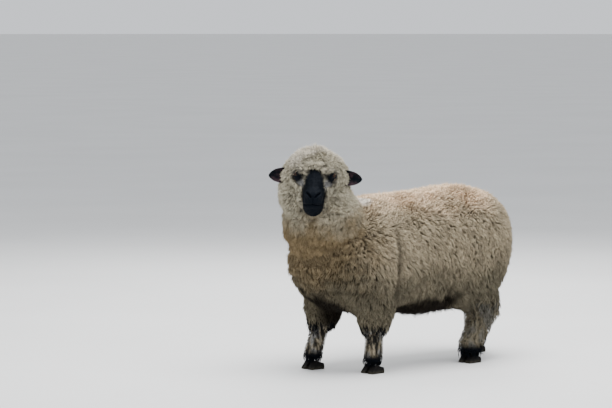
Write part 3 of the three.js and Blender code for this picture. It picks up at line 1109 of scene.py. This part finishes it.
def lock_mesh(name, paths, widths, bake_places, tone, rng):
    """One mesh of many locks, each a bent three-sided spindle, closed at its root and its tip."""
    count, rings = len(paths), paths.shape[1] - 1
    tangent = unit(np.gradient(paths, axis=1))
    turn = rng.uniform(0, 2 * math.pi, count)
    helper = unit(rng.normal(size=(count, 3)))
    side = unit(np.cross(tangent, helper[:, None]))
    up = np.cross(tangent, side)
    t = np.linspace(0, 1, rings + 1)[:-1]
    profile = 0.62 + 0.38 * np.sin(math.pi * np.clip(t * 1.25, 0, 1)) - 0.45 * t**3
    radius = widths[:, None] / 2 * profile
    angles = turn[:, None] + np.arange(3) * 2 * math.pi / 3
    rim = (
        np.cos(angles)[:, None, :, None] * side[:, :-1, None]
        + FLATNESS * np.sin(angles)[:, None, :, None] * up[:, :-1, None]
    )
    points = np.empty((count, rings * 3 + 1, 3))
    points[:, :-1] = (paths[:, :-1, None] + rim * radius[..., None, None]).reshape(count, -1, 3)
    points[:, -1] = paths[:, -1]
    faces, corner_places = lock_pattern(rings)
    corners = np.concatenate([np.array(face) for face in faces])
    sizes = np.array([len(face) for face in faces])
    stride = points.shape[1]
    mesh = bpy.data.meshes.new(name)
    mesh.vertices.add(count * stride)
    mesh.vertices.foreach_set("co", points.ravel())
    mesh.loops.add(count * len(corners))
    first = np.arange(count)[:, None]
    mesh.loops.foreach_set("vertex_index", (first * stride + corners).ravel())
    mesh.polygons.add(count * len(faces))
    starts = np.concatenate(([0], np.cumsum(sizes)[:-1]))
    mesh.polygons.foreach_set("loop_start", (first * len(corners) + starts).ravel())
    mesh.polygons.foreach_set("use_smooth", np.ones(count * len(faces), bool))
    mesh.update(calc_edges=True)
    mesh.validate()
    bake = mesh.uv_layers.new(name="OFBake")
    corner_uv = bake_places[:, None] + (np.array(corner_places) - 0.5) * PATCH
    bake.data.foreach_set("uv", corner_uv.astype(np.float32).ravel())
    piece = bpy.data.objects.new(name, mesh)
    bpy.context.collection.objects.link(piece)
    ring_t = np.append(np.repeat(t, 3), 1.0)
    set_numbers(piece, "tip", np.tile(ring_t, count))
    set_numbers(piece, "tone", np.repeat(tone, stride))
    around = np.append(np.tile((0.0, 1.0, 2.0), rings), 1.0)
    grain = np.empty((count, stride, 3), np.float32)
    grain[..., 0] = around
    grain[..., 1] = ring_t * 20
    grain[..., 2] = rng.uniform(0, 500, (count, 1))
    attribute = mesh.attributes.new("grain", "FLOAT_VECTOR", "POINT")
    attribute.data.foreach_set("vector", grain.ravel())
    return piece


def downhill(normals, way):
    """A direction laid along the skin."""
    laid = way - normals * (normals * way).sum(1)[:, None]
    return unit(laid)


def turned(lie, normals, angle):
    """The lie of each lock, turned about the skin's normal."""
    return lie * np.cos(angle)[:, None] + np.cross(normals, lie) * np.sin(angle)[:, None]


def region_mask(*names):
    """1 on the skin of the named regions, 0 elsewhere."""
    regions = get_numbers(bpy.data.objects["skin"], "region")
    return np.isin(np.round(regions), [REGIONS.index(name) for name in names]).astype(float)


CREASES = (  # where the fleece parts: x, y, height and half sizes, in metres
    ((FRONT + 0.300, -0.22, 0.42), (0.024, 0.10, 0.14)),
    ((FRONT + 0.632, -0.20, 0.29), (0.024, 0.08, 0.07)),
)


def crease_share(points):
    """How far the fleece sinks into its partings."""
    share = np.zeros(len(points))
    for place, half in CREASES:
        share = np.maximum(share, np.exp(-((((points - place) / half) ** 2).sum(1))))
    return share


class Growth:
    """Locks to be laid out: their roots, their clumps and the random numbers they draw."""

    def __init__(self, roots, normals, depth, hearts, rng):
        self.roots = roots
        self.normals = normals
        self.depth = depth
        self.hearts = hearts
        self.rng = rng
        self.count = len(roots)

    def vary(self, low, high):
        """A random number for each lock."""
        return self.rng.uniform(low, high, self.count)

    def clump_numbers(self, rows):
        """Rows of random numbers from 0 to 1 that the locks of a clump share."""
        return self.rng.random((self.count, rows))[self.hearts].T

    def strays(self, share):
        """1 for the locks that stand out of the coat as thin strays, 0 for the others."""
        return (self.rng.random(self.count) < share).astype(float)

    def lie(self, way, swirl, scatter):
        """Which way each lock leans: along the skin, turned by the swirl and a little at random."""
        angle = swirl + self.rng.normal(0, scatter, self.count)
        return turned(downhill(self.normals, way), self.normals, angle)

    def tone(self, share):
        """How pale each lock is, from 0 to 1: partly its clump's, partly its own."""
        clump = share * self.rng.random(self.count)[self.hearts]
        return clump + (1 - share) * self.rng.random(self.count)

    def locks(self, lie, height, reach, look, slim=1, stray=0):
        """The path, the width and the tone of every lock, in one of the looks below."""
        paths = lock_paths(self.roots, self.normals, lie, height, reach, look["steps"])
        if "pull" in look:
            pull = self.vary(*look["pull"]) * (1 - stray)
            paths = clump_paths(paths, self.hearts, pull)
        paths = curl_paths(paths, self.normals, lie, look["curl"], look["turns"], self.rng)
        widths = self.vary(*look["widths"]) * MM * slim
        return {"paths": paths, "widths": widths, "tone": self.tone(look["clump_tone"])}


def grow(names, wanted, count, material, plan, spacing, axis, slot):
    """Grows locks on part of the skin, in one piece for each name, each with its own bake map."""
    rng = np.random.default_rng(bpy.context.scene.sheep_coat.seed + count)
    roots, normals, depth, area = skin_sample(bpy.data.objects["skin"], wanted, count, rng)
    on_top = fade(normals[:, 2], 0.35, 0.85)
    hearts = group(roots, spacing * (1 - 0.25 * on_top), area, rng)
    made = plan(Growth(roots, normals, depth, hearts, rng))
    places = unwrap(roots, *axis)
    order = np.argsort(places[:, 1])
    for name, chosen in zip(names, np.array_split(order, len(names))):
        paths, widths, tone = (made[key][chosen] for key in ("paths", "widths", "tone"))
        piece = lock_mesh(name, paths, widths, spread_out(places[chosen]), tone, rng)
        piece.data.materials.append(material)
        settle(piece, slot)


FOLD_STEP = 0.044  # from one fold of the breast to the next


def chest_folds(roots):
    """How deep each root lies in the folds that run across the breast."""
    back, height = roots[:, 0] - FRONT, roots[:, 2]
    over_breast = fade(back, 0.24, 0.08) * fade(height, 0.60, 0.54) * fade(height, 0.26, 0.32)
    sway = ripples(roots, 0.22, 26) * 1.6
    wave = np.sin(height * 2 * math.pi / FOLD_STEP + sway + np.abs(roots[:, 1]) * 9)
    return over_breast * np.clip(wave, 0, 1) ** 2


# How the locks of each part look: the steps along a lock, how far it is drawn to the heart of its
# clump, the size and number of its waves, its widths in millimetres, and how far a clump shares a tone.
FLEECE_LOOK = {
    "steps": 2,
    "pull": (0.15, 0.60),
    "curl": 1.9 * MM,
    "turns": 1.5,
    "widths": (2.7, 4.6),
    "clump_tone": 0.5,
}
NECK_LOOK = {**FLEECE_LOOK, "widths": (2.6, 4.4)}
HEAD_LOOK = {
    "steps": 3,
    "pull": (0.05, 0.45),
    "curl": 1.7 * MM,
    "turns": 1.7,
    "widths": (2.0, 3.4),
    "clump_tone": 0.4,
}
BROW_LOOK = {"steps": 3, "curl": 1.3 * MM, "turns": 1.4, "widths": (1.5, 2.6), "clump_tone": 0.4}
LEG_LOOK = {"steps": 3, "pull": (0.2, 0.7), "turns": 1.2, "widths": (0.7, 1.2), "clump_tone": 0.5}


def plan_fleece(growth):
    """The trunk's fleece: short staples lying down the sides, finer and more upright on the back."""
    roots, normals = growth.roots, growth.normals
    leaning, sizing, reaching = growth.clump_numbers(3)
    up = fade(normals[:, 2], 0.30, 0.85)
    hem = fade(normals[:, 2], -0.45, -0.75) * fade(roots[:, 2], 0.36, 0.32)
    flank = hem * fade(roots[:, 0] - FRONT, 0.40, 0.58)
    swirl = ripples(roots, 0.16, 21) * 0.30 + ripples(roots, 0.03, 24) * 0.35
    swirl += (leaning - 0.5) * (0.9 + 1.6 * up) + up * ripples(roots, 0.10, 25) * 1.1
    lie = growth.lie((0.16, 0, -1.0), swirl, 0.22)
    lump = ripples(roots, 0.09, 22) * 0.06 + ripples(roots, 0.028, 23) * 0.05
    sunk = np.maximum(1.3 * crease_share(roots), 0.75 * chest_folds(roots))
    size = (0.88 + 0.18 * sizing + lump) * (1 - 0.6 * sunk)
    stray = growth.strays(0.07)
    height = np.clip(growth.depth, 0.012, 0.036) * size * growth.vary(0.84, 1.04)
    height *= (1 + 0.22 * stray) * (1 + 0.8 * flank)
    reach = 0.027 - 0.015 * up + 0.012 * hem + 0.008 * flank
    reach *= (0.7 + 0.6 * reaching) * growth.vary(0.7, 1.2)
    slim = (1 - 0.2 * up) * (1 - 0.5 * stray)
    made = growth.locks(lie, height, reach, FLEECE_LOOK, slim, stray)
    # Locks in the partings and the breast's folds get a darker tone: painted shade
    made["tone"] *= 1 - 0.6 * sunk
    return made


def plan_neck(growth):
    """The neck's wool: crimped staples with folds across them."""
    roots = growth.roots
    leaning, sizing, reaching = growth.clump_numbers(3)
    swirl = ripples(roots, 0.12, 31) * 0.4 + ripples(roots, 0.03, 34) * 0.35
    lie = growth.lie((0.15, 0.05, -1.0), swirl + (leaning - 0.5) * 1.1, 0.22)
    fold = 0.12 * np.sin(roots[:, 2] * 2 * math.pi / 0.062 + ripples(roots, 0.2, 32) * 2)
    fold *= fade(roots[:, 2], 0.68, 0.62)
    size = 0.86 + 0.18 * sizing + fold + ripples(roots, 0.03, 33) * 0.05
    stray = growth.strays(0.07)
    height = np.clip(growth.depth, 0.014, 0.042) * size * growth.vary(0.84, 1.04)
    reach = 0.025 * (0.7 + 0.6 * reaching) * growth.vary(0.7, 1.2)
    return growth.locks(lie, height * (1 + 0.2 * stray), reach, NECK_LOOK, 1 - 0.5 * stray, stray)


def plan_head(growth):
    """The head's wool: short dense curls that fall away from the crown and out from the muzzle."""
    roots = growth.roots
    local = to_head(roots)
    crown = fade(local[:, 2], 10, 80)[:, None]
    fringe = (fade(local[:, 0], 15, 45) * fade(local[:, 2], 0, 35))[:, None]
    forward, sideways, upward = HEAD_AXES.T
    way = sideways * np.clip(local[:, 1:2] / 50, -1, 1) * (0.35 + 0.25 * crown)
    way = way - upward * (1 - 0.4 * crown) + forward * (0.4 * crown + 0.35 * fringe)
    leaning, sizing, reaching = growth.clump_numbers(3)
    lie = growth.lie(way, ripples(roots, 0.06, 41) * 0.5 + (leaning - 0.5) * 2.4, 0.3)
    size = 0.86 + 0.20 * sizing + ripples(roots, 0.035, 42) * 0.07
    stray = growth.strays(0.08 + 0.16 * crown[:, 0])
    height = np.clip(growth.depth, 0.010, 0.050) * size * growth.vary(0.86, 1.04)
    reach = (0.014 + 0.002 * fringe[:, 0]) * (0.6 + 0.8 * reaching) * growth.vary(0.6, 1.3)
    return growth.locks(lie, height * (1 + 0.18 * stray), reach, HEAD_LOOK, 1 - 0.45 * stray, stray)


def brow_share(local):
    """How woolly each point of the face is: over and outside the eyes, and on the cheeks."""
    x, y, z = local.T
    across = np.abs(y)
    arch = np.interp(z, (-90, -56, -5, 10, 24, 36, 44, 49), (49, 44, 39, 35, 29, 21, 10, 0))
    over_eyes = fade(z, 24, 32) * fade(across - arch, 0, 5)
    cheek = fade(z, -26, -40) * fade(across - arch, 4, 9)
    return np.clip(over_eyes + cheek, 0, 1) * fade(x, 118, 104)


def plan_brow(growth):
    """The wool where it meets the face: longest over the eyes, short beside the muzzle."""
    local = to_head(growth.roots)
    above = fade(local[:, 2], -10, 20)
    forward, sideways, upward = HEAD_AXES.T
    way = sideways * np.clip(local[:, 1:2] / 40, -1, 1) * (0.9 - 0.5 * above[:, None])
    way = way - upward * (0.35 + 0.4 * above[:, None]) - forward * 0.3
    leaning, reaching = growth.clump_numbers(2)
    lie = growth.lie(way, (leaning - 0.5) * 1.6, 0.3)
    rim = above * fade(growth.depth, 0.009, 0.005)
    height = (growth.depth + 0.002 * above + 0.003 * rim) * growth.vary(0.6, 1.2)
    reach = (0.011 + 0.005 * above) * (0.7 + 0.6 * reaching) * growth.vary(0.6, 1.2)
    return growth.locks(lie, height, reach, BROW_LOOK)


def plan_legs(growth):
    """The legs' coat: woolly down to the knee or hock, short below, and shaggy over the claws."""
    roots = growth.roots
    leaning, sizing, reaching = growth.clump_numbers(3)
    lie = growth.lie((0.1, 0, -1.0), (leaning - 0.5) * 1.2, 0.2)
    hind = fade(roots[:, 0] - FRONT, 0.5, 0.6)
    skirt = 0.165 + 0.045 * hind
    woolly = fade(roots[:, 2], skirt - 0.006, skirt + 0.012)
    pastern = fade(roots[:, 2], 0.075, 0.050)
    shaggy = 0.8 * hind * (1 - woolly) + pastern
    height = np.clip(growth.depth, 0.0035, 0.026) * (0.8 + 0.3 * sizing) * (1 + 1.1 * shaggy)
    reach = 0.008 + 0.020 * woolly + 0.016 * shaggy
    reach *= (0.7 + 0.6 * reaching) * growth.vary(0.7, 1.2)
    hem = np.exp(-(((roots[:, 2] - skirt - 0.018) / 0.020) ** 2))
    height *= 1 + (0.8 - 0.55 * hind) * hem
    reach *= 1 + 0.30 * hem
    reach = np.minimum(reach, np.maximum(roots[:, 2] - 0.012, 0.004))
    look = {**LEG_LOOK, "curl": (0.6 + 1.0 * woolly[:, None]) * MM}
    return growth.locks(lie, height, reach, look, 2.0 + 2.0 * woolly + 0.5 * shaggy)


def plan_face(growth):
    """Short hair on the face and the ears, lying back from the nose."""
    local = to_head(growth.roots)
    forward, sideways, upward = HEAD_AXES.T
    away = np.sign(local[:, 1:2]) * sideways
    on_ear = (np.abs(local[:, 1:2]) > 105).astype(float)
    way = (-forward * 0.8 - upward * 0.25 + away * 0.3) * (1 - on_ear) + away * on_ear
    lie = growth.lie(way, 0, 0.25)
    length = growth.vary(0.7, 1.3)
    edge = fade(local[:, 0], 100, 60) * (1 - on_ear[:, 0])
    height = (0.0009 + 0.0024 * edge) * length
    reach = (0.0060 + 0.0040 * edge - 0.0025 * on_ear[:, 0]) * length
    paths = lock_paths(growth.roots, growth.normals, lie, height, reach, 2)
    widths = growth.vary(0.7, 1.3) * (0.9 + 0.5 * edge) * MM
    return {"paths": paths, "widths": widths, "tone": growth.rng.random(growth.count)}


def head_line(start, end, radius):
    """A line in the head's frame for a piece's bake map to be unwrapped round."""
    return tuple(HEAD @ Vector(start)), tuple(HEAD @ Vector(end)), radius


# The lines that the bake maps are unwrapped round: start, end and radius.
TRUNK_AXIS = ((FRONT + 0.236, 0, 0.46), (FRONT + 0.806, 0, 0.47), 0.22)
NECK_AXIS = ((FRONT + 0.186, 0, 0.48), (FRONT + 0.066, -0.036, 0.69), 0.12)
HEAD_AXIS = head_line((-0.06, 0, 0), (0.0, 0, -0.01), 0.10)
FACE_AXIS = head_line((0.03, 0, -0.02), (0.12, 0, -0.06), 0.05)
TAIL_AXIS = ((FRONT + 1.006, 0, 0.59), (FRONT + 1.024, 0, 0.44), 0.025)
LEG_LINE = (0.04, 0.34, 0.05)  # a leg's stands over its foot: lower end, upper end and radius
LEG_SPACING = 0.008

COATS = {  # how a part's locks are planned, how far apart their clumps are, their line and their slot
    "trunk": (plan_fleece, 0.0100, TRUNK_AXIS, "fleece"),
    "tail": (plan_legs, 0.008, TAIL_AXIS, "fleece"),
    "neck": (plan_neck, 0.0098, NECK_AXIS, "head_wool"),
    "head": (plan_head, 0.0062, HEAD_AXIS, "head_wool"),
    "face": (plan_face, 0.004, FACE_AXIS, "dark_face"),
    "brow": (plan_brow, 0.005, FACE_AXIS, "head_wool"),
}


class SHEEP_OT_fleece(bpy.types.Operator):
    """Grow the fleece on the trunk and the tail"""

    bl_idname = "sheep.fleece"
    bl_label = "Fleece"

    def execute(self, context):
        coat, colours = context.scene.sheep_coat, context.scene.sheep_colours
        wool = tufted("fleece_wool", colours, body_wool)
        names = ["fleece_" + part for part in ("breast", "shoulder", "ribs", "loin", "rump")]
        grow(names, region_mask("trunk"), coat.fleece_locks, wool, *COATS["trunk"])
        grow(["fleece_tail"], region_mask("tail"), coat.tail_locks, wool, *COATS["tail"])
        return {"FINISHED"}


class SHEEP_OT_head_wool(bpy.types.Operator):
    """Grow the wool on the neck and the head"""

    bl_idname = "sheep.head_wool"
    bl_label = "Head and neck wool"

    def execute(self, context):
        coat, colours = context.scene.sheep_coat, context.scene.sheep_colours
        wool = tufted("head_wool", colours, head_wool)
        grow(["neck_wool"], region_mask("neck"), coat.neck_locks, wool, *COATS["neck"])
        wanted = region_mask("head") * clear_of_eyes(bpy.data.objects["skin"])
        names = ["head_wool_back", "head_wool_front"]
        grow(names, wanted, coat.head_locks, wool, *COATS["head"])
        return {"FINISHED"}


def clear_of_eyes(skin):
    """1 where wool may grow, and 0 on the lids."""
    local = to_head(points_of(skin))
    share = np.ones(len(local))
    for side in (1, -1):
        centre, _, _, _ = eye_frame(side)
        share *= fade(np.linalg.norm(local - centre, axis=1), 19, 21)
    return share


class SHEEP_OT_leg_hair(bpy.types.Operator):
    """Grow the shaggy coat of the legs"""

    bl_idname = "sheep.leg_hair"
    bl_label = "Leg coat"

    def execute(self, context):
        coat, colours = context.scene.sheep_coat, context.scene.sheep_colours
        hair = tufted("leg_coat", colours, leg_hair, sheen=0.04)
        x, y, _ = points_of(bpy.data.objects["skin"]).T
        on_leg = region_mask("leg")
        share = coat.leg_locks // 4
        bottom, top, radius = LEG_LINE
        for end, at_end in (("fore", x < FRONT + 0.5), ("hind", x >= FRONT + 0.5)):
            for side, on_side in (("left", y < 0), ("right", y >= 0)):
                wanted = on_leg * at_end * on_side
                foot = middle(f"leg_{end}_{side}_lower")
                axis = ((foot.x, foot.y, bottom), (foot.x, foot.y, top), radius)
                name = f"coat_{end}_{side}"
                grow([name], wanted, share, hair, plan_legs, LEG_SPACING, axis, "leg_wool")
        return {"FINISHED"}


class SHEEP_OT_face_hair(bpy.types.Operator):
    """Grow the short hair of the face and the ears"""

    bl_idname = "sheep.face_hair"
    bl_label = "Face hair"

    def execute(self, context):
        coat, colours = context.scene.sheep_coat, context.scene.sheep_colours
        skin = bpy.data.objects["skin"]
        local = to_head(points_of(skin))
        hair = tufted("face_coat", colours, face_hair, sheen=0.02)
        wanted = region_mask("face", "ear") * clear_of_eyes(skin)
        wanted *= fade(get_numbers(skin, "inner"), 0.3, 0.05) * fade(local[:, 0], 158, 140)
        grow(["face_hair"], wanted, coat.face_hairs, hair, *COATS["face"])
        wanted = region_mask("face") * clear_of_eyes(skin) * brow_share(local)
        wool = tufted("brow_wool", colours, head_wool)
        grow(["brow_wool"], wanted, coat.brow_locks, wool, *COATS["brow"])
        return {"FINISHED"}


# ---------------------------------------------------------------- eyes and claws
EYEBALL_RADIUS = 13.1  # in millimetres; the lids are modelled round the larger EYE_RADIUS
CORNEA_BULGE = 0.9


def eye_material(side, colours):
    """A wet eye: a dark amber iris with a level slot of a pupil, in a dark ring and dark corners."""
    word = "left" if side > 0 else "right"
    shades = Shades("eye_" + word, Specular_IOR_Level=0.08, Coat_Weight=0.14, Coat_Roughness=0.03)
    centre, out, along, across = eye_frame(side)
    axes = HEAD_AXES @ np.column_stack((out, along, across))
    if np.linalg.det(axes) < 0:
        axes[:, 1] *= -1
    origin, turn = Vector(from_head(centre)), Matrix(axes.tolist()).to_euler()
    x, y, z = shades.parts(shades.seen_from(origin, turn))
    ring = shades.math("SQRT", y * y + z * z)
    rays = shades.noise(shades.place(), 1400, 2)
    iris = shades.shade(shades.mix(colours.iris, colours.flecks, rays), 1.3)
    colour = shades.mix(iris, colours.iris_edge, ring.fade(0.0062, 0.0078))
    colour = shades.mix(colour, colours.eye_corner, ring.fade(0.0092, 0.0105))
    slot = abs(z * 2.2).greater(abs(y))
    colour = shades.mix(colours.pupil, colour, slot.fade(0.0034, 0.0041))
    return shades.finish(colour, rays.fade(0, 1, 0.18, 0.10))


class SHEEP_OT_eyes(bpy.types.Operator):
    """Make the two eyeballs, each with a bulging cornea"""

    bl_idname = "sheep.eyes"
    bl_label = "Eyes"

    def execute(self, context):
        for side, word in ((1, "left"), (-1, "right")):
            centre, out, _, _ = eye_frame(side)
            eye = ball(64, 40, EYEBALL_RADIUS * MM, Vector(from_head(centre)))
            bpy.ops.object.transform_apply(location=True)
            reach = to_head(points_of(eye)) - centre
            bulge = CORNEA_BULGE * fade(unit(reach) @ out, 0.78, 0.97)
            move_points(eye, from_head(centre + reach * (1 + bulge / EYE_RADIUS)[:, None]))
            shade_smooth(eye)
            dress(eye, "eyeball_" + word, eye_material(side, context.scene.sheep_colours))
            settle(eye, "eye", "eye_" + word)
        return {"FINISHED"}


CORONET_SLOPE = 0.31
RING_STEP = 3.4 * MM
RING_HEIGHT = 0.28 * MM
WEAR_HEIGHT = 0.25 * MM
CLAW_EDGE = 3.2 * MM
CLAW_GRAIN = 1.5 * MM
SOLE_STEP = 1.2 * MM  # whatever is this near the sole is pressed flat onto it


def horn_material(colours):
    """Worn dark horn: growth rings, upright cracks and dust towards the ground."""
    shades = Shades("claw_horn", Specular_IOR_Level=0.10)
    place = shades.place()
    height = shades.parts(place)[2]
    streak = shades.noise(place, 380, 4, 0.6, (1, 1, 0.25))
    ring = shades.noise(place, 420, 2, 0.5, (0.15, 0.15, 1))
    colour = shades.shade(colours.horn, streak.fade(0.3, 0.7, 0.7, 1.5))
    dust = height.fade(0.018, 0.0) * shades.noise(place, 150, 3).fade(0.35, 0.6)
    colour = shades.mix(colour, colours.low, dust * 0.4)
    shades.bump(streak + ring, 0.4, 0.6 * MM)
    return shades.finish(colour, streak.fade(0.3, 0.7, 0.6, 0.85))


class SHEEP_OT_claws(bpy.types.Operator):
    """Make the eight claws, rounded and ringed"""

    bl_idname = "sheep.claws"
    bl_label = "Claws"

    def execute(self, context):
        horn = horn_material(context.scene.sheep_colours)
        for node in CLAWS:
            claw = copy_of(node)
            apply_modifier(claw, "BEVEL", width=CLAW_EDGE, segments=3, limit_method="ANGLE")
            remesh(claw, CLAW_GRAIN)
            smooth(claw, 5)
            points, normals = points_of(claw), normals_of(claw)
            toe = points[:, 0].min()
            level = points[:, 2] + CORONET_SLOPE * (points[:, 0] - toe)
            wall = fade(np.abs(normals[:, 2]), 0.85, 0.4) * fade(points[:, 2], 1 * MM, 5 * MM)
            rings = np.sin(level * 2 * math.pi / RING_STEP + ripples(points, 0.03, 51))
            relief = rings * RING_HEIGHT + ripples(points, 0.012, 52) * WEAR_HEIGHT
            points += normals * (wall * relief)[:, None]
            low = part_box(node)[0].z
            points[:, 2] = np.where(points[:, 2] < low + SOLE_STEP, low, points[:, 2])
            move_points(claw, points)
            dress(claw, node.replace("claw", "horn"), horn)
            settle(claw, "horn", node)
        return {"FINISHED"}


# ---------------------------------------------------------------- stage
FOCUS = Vector((FRONT + 0.5129, 0, 0.46))
PAN = math.radians(1.965)  # the camera looks this far to the left of the focus
TILT = math.radians(0.955)  # and this far above it
FLOOR_RADIUS = 150
SENSOR_WIDTH = 36
FAR_END = 500
LAMPS = {  # bearing and height in degrees, then distance and size
    "softbox": (-10, 76, 4.2, 3.8),
    "rim": (140, 40, 5.0, 3.0),
    "fill": (-75, 22, 5.5, 2.6),
}


def bearing(azimuth, elevation):
    """The way from the sheep to a camera or a lamp."""
    level = math.cos(elevation)
    return Vector((math.sin(azimuth) * level, -math.cos(azimuth) * level, math.sin(elevation)))


def floor_material(colours):
    """Pale painted board with a faint roller grain."""
    shades = Shades("studio_floor", Specular_IOR_Level=0.2)
    grain = shades.noise(shades.place(), 60, 4)
    blotch = shades.noise(shades.place(), 0.8, 3)
    colour = shades.shade(colours.floor, blotch.fade(0.3, 0.7, 0.98, 1.02))
    shades.bump(grain, 0.05, 1 * MM)
    return shades.finish(colour, grain.fade(0.3, 0.7, 0.85, 0.95))


def lamp(name, azimuth, elevation, distance, size, power):
    deselect()
    way = bearing(math.radians(azimuth), math.radians(elevation))
    bpy.ops.object.light_add(type="AREA", location=FOCUS + way * distance)
    light = bpy.context.object
    light.name = name
    light.rotation_euler = way.to_track_quat("Z", "Y").to_euler()
    light.data.size = size
    light.data.energy = power


class SHEEP_OT_stage(bpy.types.Operator):
    """Set up the floor, the lights and the camera"""

    bl_idname = "sheep.stage"
    bl_label = "Stage"

    def execute(self, context):
        studio, colours = context.scene.sheep_studio, context.scene.sheep_colours
        deselect()
        bpy.ops.mesh.primitive_circle_add(vertices=96, radius=FLOOR_RADIUS, fill_type="NGON")
        floor = context.object
        dress(floor, "floor", floor_material(colours))
        for name, place in LAMPS.items():
            lamp(name, *place, getattr(studio, name))
        world = bpy.data.worlds.new("studio")
        context.scene.world = world
        world.use_nodes = True
        background = world.node_tree.nodes["Background"]
        background.inputs["Color"].default_value = (*colours.daylight, 1)
        background.inputs["Strength"].default_value = studio.sky
        deselect()
        away = bearing(studio.azimuth, studio.elevation)
        bpy.ops.object.camera_add(location=FOCUS + away * studio.distance)
        camera = context.object
        back = bearing(studio.azimuth + PAN, studio.elevation - TILT)
        camera.rotation_euler = back.to_track_quat("Z", "Y").to_euler()
        camera.data.sensor_width = SENSOR_WIDTH
        camera.data.lens = studio.lens
        camera.data.clip_end = FAR_END
        context.scene.camera = camera
        return {"FINISHED"}


# ---------------------------------------------------------------- panel and run
OPERATORS = (
    SHEEP_OT_skin,
    SHEEP_OT_eyes,
    SHEEP_OT_claws,
    SHEEP_OT_fleece,
    SHEEP_OT_head_wool,
    SHEEP_OT_leg_hair,
    SHEEP_OT_face_hair,
    SHEEP_OT_stage,
)


class SHEEP_PT_panel(bpy.types.Panel):
    """Lists the sheep's settings and the steps that make it."""

    bl_idname = "SHEEP_PT_panel"
    bl_label = "Standing Sheep"
    bl_space_type = "VIEW_3D"
    bl_region_type = "UI"
    bl_category = "Sheep"

    def draw(self, context):
        layout = self.layout
        for name, group_class in SETTINGS.items():
            settings = getattr(context.scene, name)
            box = layout.box()
            box.label(text=group_class.__name__.replace("Sheep", ""))
            for key in group_class.__annotations__:
                box.prop(settings, key)
        for operator in OPERATORS:
            layout.operator(operator.bl_idname)


CLASSES = (*SETTINGS.values(), *OPERATORS, SHEEP_PT_panel)


def register():
    for cls in CLASSES:
        bpy.utils.register_class(cls)
    for name, group_class in SETTINGS.items():
        setattr(bpy.types.Scene, name, bpy.props.PointerProperty(type=group_class))


def unregister():
    for name in SETTINGS:
        delattr(bpy.types.Scene, name)
    for cls in reversed(CLASSES):
        bpy.utils.unregister_class(cls)


def main():
    register()
    bpy.ops.sheep.skin()
    bpy.ops.sheep.eyes()
    bpy.ops.sheep.claws()
    bpy.ops.sheep.fleece()
    bpy.ops.sheep.head_wool()
    bpy.ops.sheep.leg_hair()
    bpy.ops.sheep.face_hair()
    bpy.ops.sheep.stage()


if __name__ == "__main__":
    main()
